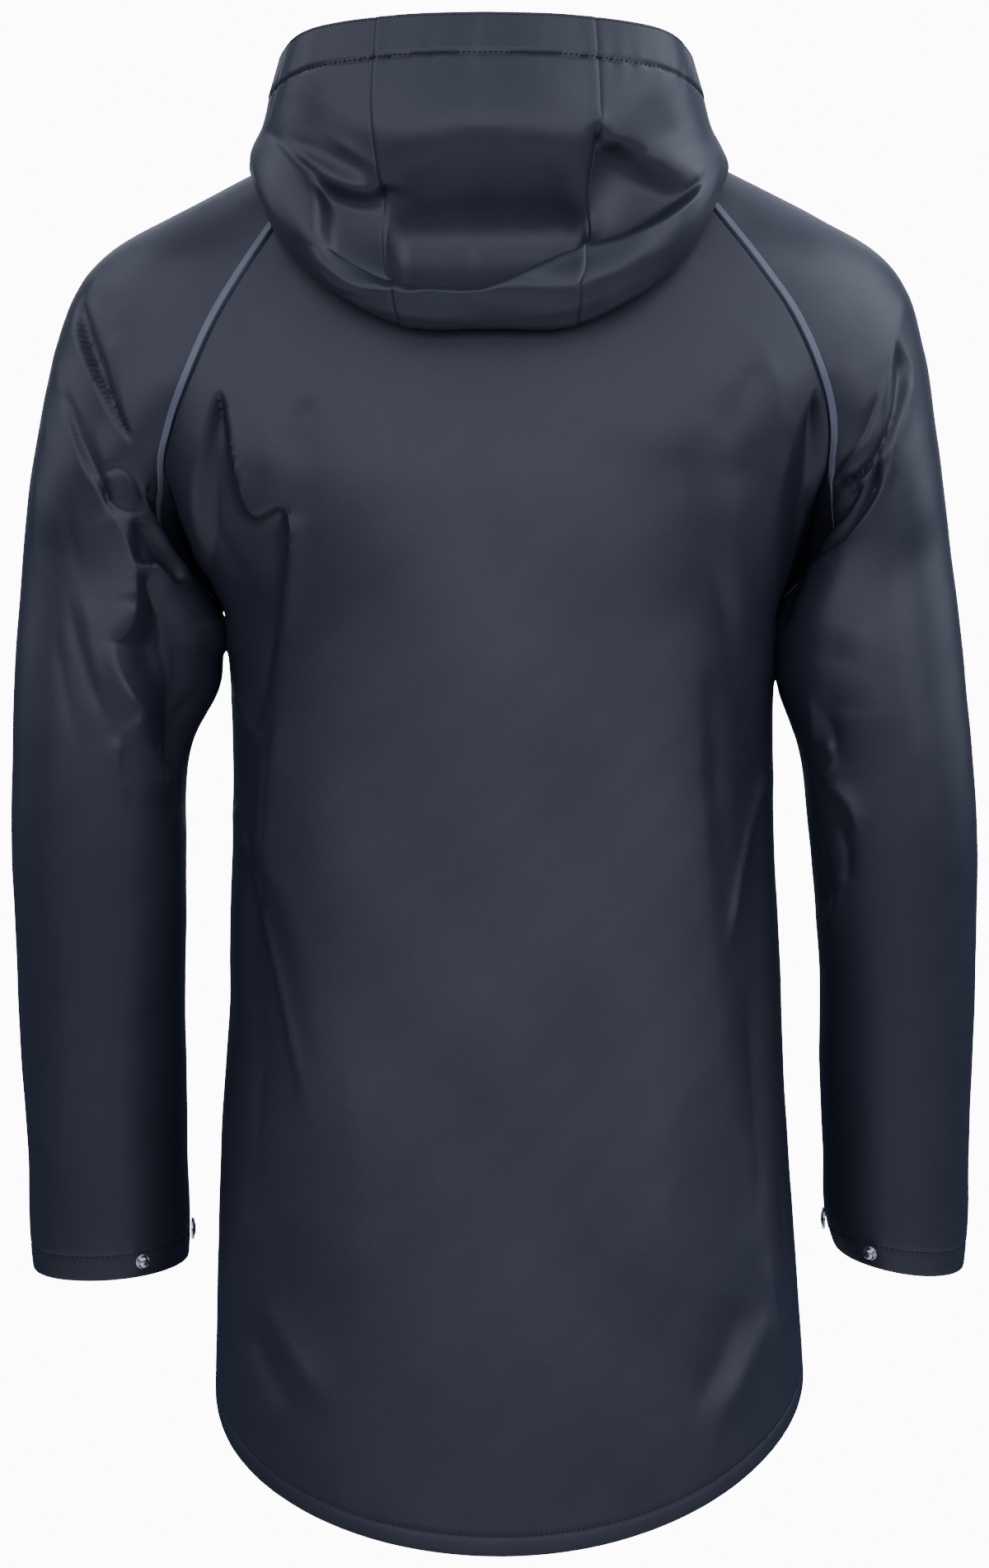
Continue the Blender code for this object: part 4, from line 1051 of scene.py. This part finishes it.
def stitch_line(name, line, outs, length=2.5, pitch=3.4, width=0.75, height=0.6):
    """A row of stitches along a line on the cloth, sunk a little into it."""
    corners, faces = STITCH
    spots, outs, ways = run_along(line, outs, pitch)
    sides = np.cross(outs, ways)
    ways = ways + sides * STITCH_SLANT
    points, all_faces = [], []
    for k, (spot, out, way, side) in enumerate(zip(spots, outs, ways, sides)):
        body = (corners[:, :1] * way * length + corners[:, 1:2] * side * width
                + corners[:, 2:] * out * height)
        points.append(spot + out * (0.5 * height - STITCH_SINK) + body)
        start = k * len(corners)
        all_faces += [[start + i for i in face] for face in faces]
    return finish_mesh(name, np.concatenate(points), all_faces, (THREAD,))


def contour(cloth, distance, length, across=False):
    """The line over the cloth at one distance from an edge, with its
    normals.  distance: the cloth's measured distances, read up each column,
    or across each row."""
    grids = (distance, cloth.grid, cloth.normals)
    if not across:
        grids = [np.swapaxes(grid, 0, 1) for grid in grids]
    line, outs = [], []
    for away, spots, normals in zip(*grids):
        order = np.argsort(away)
        line.append(read_at(length, away[order], spots[order]))
        outs.append(read_at(length, away[order], normals[order]))
    return np.array(line), np.array(outs)


# section of a welded strip: share of its width, share of its height
STRIP_SECTION = np.array([(0.0, -0.3), (0.04, 0.7), (0.12, 1.0), (0.3, 0.9),
                          (0.5, 0.86), (0.7, 0.9), (0.88, 1.0), (0.96, 0.7),
                          (1.0, -0.3)])


def raised_strip(name, cloth, end, rows):
    """Welded strip lying beside a seam, from the cloth's own points."""
    from_seam = cloth.from_first if end == "first" else cloth.from_last
    at = STRIP_AWAY + STRIP_SECTION[:, 0] * STRIP_WIDE
    lift = STRIP_SECTION[:, 1:]
    rings = []
    for r in rows:
        order = np.argsort(from_seam[r])
        away = from_seam[r][order]
        rings.append(read_at(at, away, cloth.grid[r, order])
                     + read_at(at, away, cloth.normals[r, order]) * lift * STRIP_HIGH)
    rings = np.array(rings)
    steps = np.arange(len(rings))
    taper = np.minimum(1.0, np.minimum(steps, steps[::-1]) / 3 + 0.3)
    middle = rings.mean(axis=1, keepdims=True)
    rings = middle + (rings - middle) * taper[:, None, None]
    number = np.arange(rings.shape[0] * rings.shape[1]).reshape(rings.shape[:2])
    beside = np.roll(number, -1, axis=1)
    faces = np.stack([number[:-1], beside[:-1], beside[1:], number[1:]], axis=-1)
    faces = faces.reshape(-1, 4).tolist()
    faces += [number[0, ::-1].tolist(), number[-1].tolist()]
    piece = finish_mesh(name, rings.reshape(-1, 3), faces, (STRIP,))
    work = bmesh.new()
    work.from_mesh(piece.data)
    bmesh.ops.recalc_face_normals(work, faces=work.faces)
    work.to_mesh(piece.data)
    work.free()
    return piece


# -------------------------------------------------------------- the finishes
class Value:
    """One output of a finish's nodes, with arithmetic."""

    def __init__(self, finish, socket):
        self.finish = finish
        self.socket = socket

    def maths(self, operation, first, second):
        return self.finish.node("ShaderNodeMath", {"operation": operation},
                                {0: first, 1: second})

    def __add__(self, other):
        return self.maths("ADD", self, other)

    def __sub__(self, other):
        return self.maths("SUBTRACT", self, other)

    def __mul__(self, other):
        return self.maths("MULTIPLY", self, other)

    __radd__ = __add__
    __rmul__ = __mul__


class Finish:
    """A material on the Principled shader."""

    def __init__(self, name, **constants):
        self.material = bpy.data.materials.new(name)
        self.material.use_nodes = True
        self.nodes = self.material.node_tree.nodes
        self.shader = self.nodes["Principled BSDF"]
        for socket, value in constants.items():
            self.shader.inputs[socket.replace("_", " ")].default_value = value

    def node(self, kind, settings, sockets, output=0):
        node = self.nodes.new(kind)
        for name, setting in settings.items():
            setattr(node, name, setting)
        for name, value in sockets.items():
            self.feed(node.inputs[name], value)
        return Value(self, node.outputs[output])

    def feed(self, socket, value):
        if isinstance(value, Value):
            self.material.node_tree.links.new(value.socket, socket)
        else:
            socket.default_value = value

    def into_shader(self, **sockets):
        for name, value in sockets.items():
            self.feed(self.shader.inputs[name.replace("_", " ")], value)

    def place(self):
        return self.node("ShaderNodeTexCoord", {}, {}, "Object")

    def noise(self, place, scale, detail):
        return self.node("ShaderNodeTexNoise", {}, {
            "Vector": place, "Scale": scale, "Detail": detail}, "Fac")

    def ribs(self, place, scale, way):
        return self.node("ShaderNodeTexWave", {"bands_direction": way}, {
            "Vector": place, "Scale": scale, "Distortion": 1.2}, "Fac")

    def mix(self, share, first, second):
        return self.node("ShaderNodeMix", {"data_type": "RGBA"},
                         {0: share, 6: first, 7: second}, 2)

    def bump(self, height, strength, distance):
        return self.node("ShaderNodeBump", {}, {
            "Height": height, "Strength": strength, "Distance": distance})


def coated_cloth(name, deep, light, roughness):
    """Satin polyurethane coat: even colour, fine grain, slight rubbing."""
    finish = Finish(name, Specular_IOR_Level=0.5)
    place = finish.place()
    broad = finish.noise(place, 9.0, 3.0)
    cloudy = finish.noise(place, 46.0, 4.0)
    grain = finish.noise(place, 1500.0, 2.0)
    dimple = finish.noise(place, 420.0, 3.0)
    finish.into_shader(
        Base_Color=finish.mix(broad * 0.6 + cloudy * 0.4, deep, light),
        Roughness=roughness + (cloudy - 0.5) * 0.10 + (grain - 0.5) * 0.10,
        Normal=finish.bump(grain * 0.5 + dimple * 0.5 + cloudy * 1.4, 0.22, 0.0006))
    return finish.material


def knit_backing():
    finish = Finish("knit backing", Specular_IOR_Level=0.3)
    place = finish.place()
    ribs = finish.ribs(place, 260.0, "X")
    courses = finish.ribs(place, 300.0, "Z")
    fuzz = finish.noise(place, 700.0, 3.0)
    loops = ribs * courses
    finish.into_shader(
        Base_Color=finish.mix(loops * 0.6 + fuzz * 0.4, (0.010, 0.013, 0.022, 1),
                              (0.035, 0.042, 0.060, 1)),
        Roughness=0.78 + fuzz * 0.15,
        Normal=finish.bump(loops + fuzz * 0.4, 0.5, 0.0003))
    return finish.material


def polished_steel():
    finish = Finish("snap steel", Metallic=1.0)
    place = finish.place()
    rub = finish.noise(place, 900.0, 3.0)
    finish.into_shader(
        Base_Color=finish.mix(rub, (0.55, 0.55, 0.57, 1), (0.80, 0.80, 0.82, 1)),
        Roughness=0.16 + rub * 0.14,
        Normal=finish.bump(rub, 0.06, 0.0001))
    return finish.material


def dark_thread():
    finish = Finish("thread", Specular_IOR_Level=0.1)
    place = finish.place()
    twist = finish.noise(place, 2400.0, 2.0)
    finish.into_shader(
        Base_Color=finish.mix(twist, (0.004, 0.005, 0.010, 1),
                              (0.018, 0.021, 0.034, 1)),
        Roughness=0.6 + twist * 0.2,
        Normal=finish.bump(twist, 0.4, 0.0002))
    return finish.material


OUTSIDE = coated_cloth("navy coated cloth", (0.0150, 0.0164, 0.0247, 1),
                       (0.0184, 0.0200, 0.0295, 1), 0.44)
STRIP = coated_cloth("seam strip", (0.080, 0.086, 0.108, 1),
                     (0.125, 0.133, 0.162, 1), 0.36)
INSIDE = knit_backing()
STEEL = polished_steel()
THREAD = dark_thread()
STITCH = stitch_shape()
STITCH_SLANT = 0.12
STITCH_SINK = 0.25


# ------------------------------------------------------------- coat and hood
def coat_cloths():
    """Back, two fronts and two sleeves, meeting point for point."""
    angles = with_close_edges(0.0, math.pi, BACK_COLUMNS, BODY_AROUND,
                              crowding=CROWDING)
    skirt_length = SKIRT["z"][-1] - SIDE_HEM_Z["left"]
    hem = np.array(HEM_ROW_HEIGHTS) / skirt_length
    rises = np.concatenate([hem[:-1], crowded(1.0, hem[-1], SKIRT_ROWS)[::-1]])
    yoke_stations = crowded(1.0, 0.0, YOKE_ROWS + 1)[1:]
    half = with_close_edges(0.0, math.pi / 2, FRONT_COLUMNS, BODY_AROUND / 2)
    faces = (("back_panel", "back", angles),
             ("front_right", "front", math.pi - half),
             ("front_left", "front", half[::-1]))
    body = []
    for name, face, run in faces:
        cloth = Cloth(name, np.concatenate([skirt(face, rises, run),
                                            yoke(face, yoke_stations, run)]))
        cloth.ease_join(len(rises) - 1)
        cloth.thickness[:len(HEM_ROW_HEIGHTS) - 2] = FOLDED
        body.append(cloth)
    arm_length = SHOULDER["left"]["crown_z"][-1] - ARM["left"]["outer_z"][-1]
    cuff = 2.0 - np.array(CUFF_ROW_HEIGHTS) / arm_length
    stations = np.concatenate([
        cuff[:-1], crowded(1.0, cuff[-1], ARM_ROWS)[::-1], yoke_stations])
    armhole = len(cuff) - 1 + ARM_ROWS - 1
    back_half, front_half = (
        with_close_edges(0.0, 0.5, columns, ARM_AROUND / 2, last=False)
        for columns in (SLEEVE_BACK_COLUMNS, SLEEVE_FRONT_COLUMNS))
    around = np.concatenate([back_half, 1.0 - front_half[::-1][1:]])
    sleeves = []
    for side in SIDES:
        order = around[::-1] if side == "left" else around
        grid = sleeve(side, stations, order)
        grid[armhole, [0, -1]] += (OUTWARD[side] * UNDERARM_CLEAR, 0.0,
                                   -UNDERARM_CLEAR)
        cloth = Cloth("sleeve_" + side, grid, closed_rows=armhole + 1)
        cloth.ease_join(armhole)
        cloth.thickness[:len(CUFF_ROW_HEIGHTS) - 2] = FOLDED
        sleeves.append(cloth)
    return body, sleeves


def hood_stations():
    pieces = [[0.0]]
    for first, last, count in zip(HOOD_ROW_STATIONS, HOOD_ROW_STATIONS[1:],
                                  HOOD_ROW_COUNTS):
        pieces.append(np.linspace(first, last, count + 1)[1:])
    return np.concatenate(pieces)


def hood_cloths():
    stations = hood_stations()
    seam = np.interp(stations, HOOD_STATION, HOOD_SEAM_AZIMUTH)[:, None]
    throat = np.interp(stations, HOOD_STATION, THROAT_AZIMUTH)[:, None]
    cloths = []
    for part in ("left", "centre", "right"):
        if part == "centre":
            share = with_close_edges(-1.0, 1.0, HOOD_CENTRE_COLUMNS,
                                     HOOD_CENTRE_WIDE)[::-1]
            azimuth = seam * share[None, :]
        else:
            share = with_close_edges(0.0, 1.0, HOOD_SIDE_COLUMNS, HOOD_SIDE_WIDE,
                                     last=False) ** HOOD_SIDE_POWER
            azimuth = seam + (throat - seam) * share[None, :]
            azimuth = azimuth[:, ::-1] if part == "left" else -azimuth
        station = np.broadcast_to(stations[:, None], azimuth.shape)
        cloth = Cloth("hood_" + part, hood_surface(azimuth, station))
        cloth.looseness *= soft_step(*HOOD_LOOSE_FROM, station)
        cloth.thickness[cloth.from_top < HOOD_TURN] = FOLDED
        cloths.append(cloth)
    return cloths


def armpit_sink(cloth):
    """How deep the seams sink between body and sleeve under the arm."""
    beside = np.minimum(cloth.from_first, cloth.from_last)
    low = soft_step(ARMPIT_TOP_Z, ARMPIT_FLOOR_Z, cloth.grid[..., 2])
    shut = soft_step(UNDERARM_Z + 2.0, UNDERARM_Z + 32.0, cloth.grid[..., 2])
    return ARMPIT_DEPTH * low * shut * np.exp(-(beside / ARMPIT_REACH) ** 2)


def press_coat(body, sleeves):
    share_edge_normals(body + sleeves)
    for cloth in body + sleeves:
        back_spots, front_spots = on_elevation(cloth.grid), cloth.grid[..., [0, 2]]
        facing = cloth.normals[..., 1]
        relief = crease_relief(back_spots, facing, BACK_CREASES)
        relief += crease_relief(front_spots, -facing, FRONT_CREASES)
        relief += hollow_relief(back_spots, facing, COAT_HOLLOWS, (0.0, 0.4))
        relief -= armpit_sink(cloth)
        relief += unevenness(cloth.grid)
        relief += seam_dip(cloth, SEAM_GROOVE)
        across = cloth.from_bottom - (CUFF_TURN if cloth.closed_rows else HEM_TURN)
        relief += groove(across, *HEM_GROOVE) + HEM_GATHERS * pucker(cloth, across)
        relief += groove(cloth.from_bottom, *EDGE_GROOVE)
        cloth.press(relief)
    share_edge_normals(body + sleeves)


def press_hood(cloths):
    share_edge_normals(cloths)
    gathers, reach = HOOD_BAND_GATHERS
    for cloth in cloths:
        spots, facing = on_elevation(cloth.grid), cloth.normals[..., 1]
        relief = crease_relief(spots, facing, HOOD_CREASES) * cloth.looseness
        relief += cloth.looseness * hollow_relief(spots, facing, HOOD_HOLLOWS,
                                                  (-0.35, 0.25))
        relief = eased(relief + unevenness(cloth.grid) * cloth.looseness * 0.8)
        relief += seam_dip(cloth, HOOD_SEAM_GROOVE, cloth.name != "hood_left",
                           cloth.name != "hood_right")
        across = cloth.from_top - HOOD_TURN
        relief += (groove(across, *HOOD_BAND_GROOVE)
                   + gathers * pucker(cloth, across, reach))
        relief += HOOD_BAND_RISE * soft_step(1.0, -1.0, across)
        relief += groove(cloth.from_top - HOOD_RIM, *HOOD_RIM_GROOVE)
        if cloth.name == "hood_centre":
            for away in (cloth.from_first, cloth.from_last):
                near, far = (soft_step(*side, away) for side in TAPE_SIDES)
                relief += TAPE_RISE * (near * far)
        cloth.press(relief)
    share_edge_normals(cloths)


def placket_cloth(front_right, front_left):
    """Strip over the centre front, from the fronts' own points, across
    their rounded edges."""
    right, left = front_right.from_last[0], front_left.from_first[0]

    def bridge(of_right, of_left):
        near_right = of_right[:, (right > ROUNDED_EDGE) & (right < PLACKET_HALF)]
        near_left = of_left[:, (left > ROUNDED_EDGE) & (left < PLACKET_HALF)]
        middle = (near_right[:, -1:] + near_left[:, :1]) / 2
        return np.concatenate([near_right, middle, near_left], 1)

    grid = bridge(front_right.grid, front_left.grid)
    normals = bridge(front_right.normals, front_left.normals)
    strip = Cloth("placket", grid + normals * (PLACKET_LIFT + CLOTH))
    edge = np.minimum(strip.from_first, strip.from_last)
    at_stitches, at_edge = PLACKET_GROOVES
    strip.press(groove(edge - PLACKET_STITCH, *at_stitches) + groove(edge, *at_edge)
                + PLACKET_GATHERS * np.sin(strip.from_bottom / 2.3)
                * np.exp(-np.abs(edge - PLACKET_STITCH) / 7.0))
    strip.find_normals()
    return strip


# -------------------------------------------------------------------- snaps
# how each half is turned up from its disc: steps of rise (m) and scale
STUD_STEPS = ((0.0, 0.90), (0.00025, 0.97), (-0.0003, 0.80), (0.0, 0.72),
              (0.0009, 0.94), (0.0006, 1.24), (0.0006, 1.12), (0.0007, 0.98),
              (0.0005, 0.80), (0.00025, 0.55))         # flange, neck and ball
CAP_STEPS = ((0.0006, 0.97), (0.0003, 0.92), (0.0, 0.90), (-0.0007, 0.94),
             (0.0, 0.93), (0.0008, 0.90), (0.0005, 0.75),
             (0.00025, 0.55))                          # ring and domed middle


def snap_half(corners, radius, base, steps):
    """Half of a snap, turned up step by step from its disc's top face."""
    bpy.ops.object.select_all(action="DESELECT")
    bpy.ops.mesh.primitive_cylinder_add(vertices=corners, radius=radius / 1000,
                                        depth=base, location=(0, 0, base / 2))
    piece = bpy.context.object
    bpy.ops.object.transform_apply(location=True)
    bpy.ops.object.mode_set(mode="EDIT")
    bpy.ops.mesh.select_mode(type="FACE")
    work = bmesh.from_edit_mesh(piece.data)
    top = max(v.co.z for v in work.verts)
    for face in work.faces:
        face.select = (face.normal.z > 0.9
                       and face.calc_center_median().z > top - 1e-6)
    work.select_flush_mode()
    bmesh.update_edit_mesh(piece.data)
    for rise, scale in steps:
        bpy.ops.mesh.extrude_region_move(TRANSFORM_OT_translate={"value": (0, 0, rise)})
        bpy.ops.transform.resize(value=(scale, scale, 1.0))
    bpy.ops.object.mode_set(mode="OBJECT")
    bevel = piece.modifiers.new("soft edges", "BEVEL")
    bevel.width = 0.00012
    bevel.segments = 2
    bevel.limit_method = "ANGLE"
    bevel.angle_limit = math.radians(30)
    bpy.ops.object.modifier_apply(modifier=bevel.name)
    bpy.ops.object.shade_smooth_by_angle(angle=math.radians(40))
    return piece


def set_snap(model, name, replaced, spot, out):
    """A copy of a snap, standing on the cloth, its place in its mesh."""
    piece = bpy.data.objects.new(name, model.data.copy())
    turn = Vector(out).to_track_quat("Z", "Y").to_matrix().to_4x4()
    piece.data.transform(Matrix.Translation(Vector(spot) / 1000) @ turn)
    bpy.context.scene.collection.objects.link(piece)
    piece.data.materials.clear()
    piece.data.materials.append(STEEL)
    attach(piece, "root")
    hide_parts(replaced)


def sleeve_spot(side, station, around, step=0.01):
    """A place on a sleeve, with the way out of the cloth there."""
    grid = sleeve(side, [station + step, station, station - step],
                  [around - step, around, around + step])
    across = grid[1, 2] - grid[1, 0]
    upward = grid[2, 1] - grid[0, 1]
    out = np.cross(across, upward) * -OUTWARD[side]
    return grid[1, 1], out / np.linalg.norm(out)


def place_snaps(placket):
    stud = snap_half(32, STUD_RADIUS, 0.0007, STUD_STEPS)
    cap = snap_half(40, SNAP_CAP_RADIUS, 0.0012, CAP_STEPS)
    for side in SIDES:
        spot, out = sleeve_spot(side, CUFF_STUD_STATION, CUFF_STUD_AROUND)
        set_snap(stud, "snap_stud_" + side, "cuff_stud_" + side,
                 spot + out * STUD_LIFT, out)
        spot = sleeve(side, [CUFF_CAP_STATION], [0.0])[0, 0]
        out = np.array([-OUTWARD[side], 0.0, 0.0])
        set_snap(cap, "snap_cap_" + side, "cuff_cap_" + side,
                 spot + out * SNAP_CLEAR, out)
    middle = placket.grid.shape[1] // 2
    line, normals = placket.grid[:, middle], placket.normals[:, middle]
    for k in range(SNAP_COUNT):
        z = SNAP_TOP_Z + (SNAP_FOOT_Z - SNAP_TOP_Z) * k / (SNAP_COUNT - 1)
        spot, out = (read_at(z, line[:, 2], values) for values in (line, normals))
        set_snap(cap, "placket_cap_%d" % (k + 1), "front_snap_%d" % (k + 1),
                 spot + out * FRONT_SNAP_LIFT, out)
    for model in (stud, cap):
        bpy.data.objects.remove(model)


# -------------------------------------------------------------------- studio
FLOOR_Z = -2.3         # metres, as is all here
FLOOR_RADIUS = 4.0
SURROUND = ((1.0, 1.0, 1.0, 1), 12.0)      # colour and strength as it is seen
ROOM = ((0.25, 0.42, 1.0, 1), 0.09)        # and as it lights the coat
LAMP_AWAY = 3.3
LAMP_AIM = Vector((0.0, 0.0, -0.35))
LAMP_TINT = (0.806, 0.842, 1.0)
# around: degrees from behind the coat towards the wearer's right; up: degrees
LAMPS = table(
    "around up wide high power",
    (0, 11, 2.6, 1.6, 33),        # a low ring
    (-45, 13, 2.6, 1.6, 28),
    (48, 14, 2.6, 1.6, 34),
    (-105, 18, 2.6, 1.6, 14),
    (105, 18, 2.6, 1.6, 26),
    (180, 15, 2.6, 1.6, 24),
    (0, 50, 2.6, 1.4, 12),        # a high ring
    (-45, 42, 2.6, 1.4, 18),
    (48, 42, 2.6, 1.4, 26),
    (-90, 42, 2.6, 1.4, 16),
    (90, 42, 2.6, 1.4, 37),
    (-135, 42, 2.6, 1.4, 10),
    (135, 42, 2.6, 1.4, 12),
)


def softbox(name, around, up, size, power):
    lamp = bpy.data.lights.new(name, "AREA")
    lamp.shape = "RECTANGLE"
    lamp.size, lamp.size_y = size
    lamp.energy = power
    lamp.color = LAMP_TINT
    light = bpy.data.objects.new(name, lamp)
    turn, rise = math.radians(around), math.radians(up)
    way = Vector((-math.sin(turn) * math.cos(rise), math.cos(turn) * math.cos(rise),
                  math.sin(rise)))
    light.location = LAMP_AIM + LAMP_AWAY * way
    light.rotation_euler = (-way).to_track_quat("-Z", "Y").to_euler()
    light.visible_camera = False
    bpy.context.scene.collection.objects.link(light)


def studio():
    world = bpy.data.worlds.new("studio")
    bpy.context.scene.world = world
    world.use_nodes = True
    nodes, links = world.node_tree.nodes, world.node_tree.links
    seen, room = nodes["Background"], nodes.new("ShaderNodeBackground")
    for shader, (colour, strength) in ((seen, SURROUND), (room, ROOM)):
        shader.inputs["Color"].default_value = colour
        shader.inputs["Strength"].default_value = strength
    ray = nodes.new("ShaderNodeLightPath")
    pick = nodes.new("ShaderNodeMixShader")
    for source, socket in ((ray.outputs["Is Camera Ray"], pick.inputs[0]),
                           (room.outputs[0], pick.inputs[1]),
                           (seen.outputs[0], pick.inputs[2]),
                           (pick.outputs[0], nodes["World Output"].inputs["Surface"])):
        links.new(source, socket)
    for k, (around, up, wide, high, power) in enumerate(zip(*LAMPS.values())):
        softbox("softbox_%d" % (k + 1), around, up, (wide, high), power)
    bpy.ops.object.select_all(action="DESELECT")
    bpy.ops.mesh.primitive_circle_add(vertices=96, radius=FLOOR_RADIUS,
                                      fill_type="NGON", location=(0, 0, FLOOR_Z))
    floor = bpy.context.object
    floor.name = "floor"
    paint = Finish("pale floor", Roughness=0.8)
    paint.into_shader(Base_Color=(0.95, 0.94, 0.91, 1))
    floor.data.materials.append(paint.material)


HOOD_STITCHES = {     # how far from the edge, and the stitches' own sizes
    "band": (HOOD_TURN, {"width": 1.1, "height": 0.8}),
    "rim": (HOOD_RIM, {"length": 1.7, "pitch": 2.4, "width": 0.6}),
}


def sleeve_strips(cloth, side):
    """The welded strips beside a sleeve's two raglan seams."""
    strips = []
    for end in ("first", "last"):
        face = "front" if (end == "first") == (side == "left") else "back"
        rows = range(cloth.closed_rows + STRIP_START,
                     cloth.grid.shape[0] - STRIP_STOP[face])
        name = "%s_%s" % (face, side)
        strip = raised_strip("raglan_strip_" + name, cloth, end, rows)
        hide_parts("welt_" + name)
        strips.append(strip)
    return strips


def sew_trims(body, sleeves, hood, placket):
    """Stitches and strips of every piece, by the piece they lie on."""
    trims = {cloth.name: [] for cloth in body + sleeves + hood + [placket]}

    def stitch(cloth, name, distance, away, across=False, **size):
        line, outs = contour(cloth, distance, away, across)
        trims[cloth.name].append(stitch_line(name, line, outs, **size))

    for cloth in body:
        stitch(cloth, "hem_stitches_" + cloth.name, cloth.from_bottom, HEM_TURN)
    for cloth, side in zip(sleeves, SIDES):
        stitch(cloth, "cuff_stitches_" + side, cloth.from_bottom, CUFF_TURN)
        trims[cloth.name] += sleeve_strips(cloth, side)
    for cloth in hood:
        for label, (distance, size) in HOOD_STITCHES.items():
            stitch(cloth, "%s_stitches_%s" % (label, cloth.name), cloth.from_top,
                   distance, **size)
    for label, distance in (("left", placket.from_last),
                            ("right", placket.from_first)):
        stitch(placket, "placket_stitches_" + label, distance, PLACKET_STITCH,
               across=True)
    return trims


def main():
    body, sleeves = coat_cloths()
    press_coat(body, sleeves)
    hood = hood_cloths()
    press_hood(hood)
    placket = placket_cloth(*body[1:])
    for cloth in body + sleeves:
        stand_back(cloth, HALF_SEAM, HALF_SEAM, top=HALF_SEAM)
    for cloth in hood:
        stand_back(cloth, 0.0 if cloth.name == "hood_left" else HALF_SEAM,
                   0.0 if cloth.name == "hood_right" else HALF_SEAM)
    trims = sew_trims(body, sleeves, hood, placket)
    for cloth in body + sleeves + hood + [placket]:
        piece = sew_up(cloth, OUTSIDE, INSIDE)
        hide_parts(cloth.name)
    place_snaps(placket)
    studio()


main()
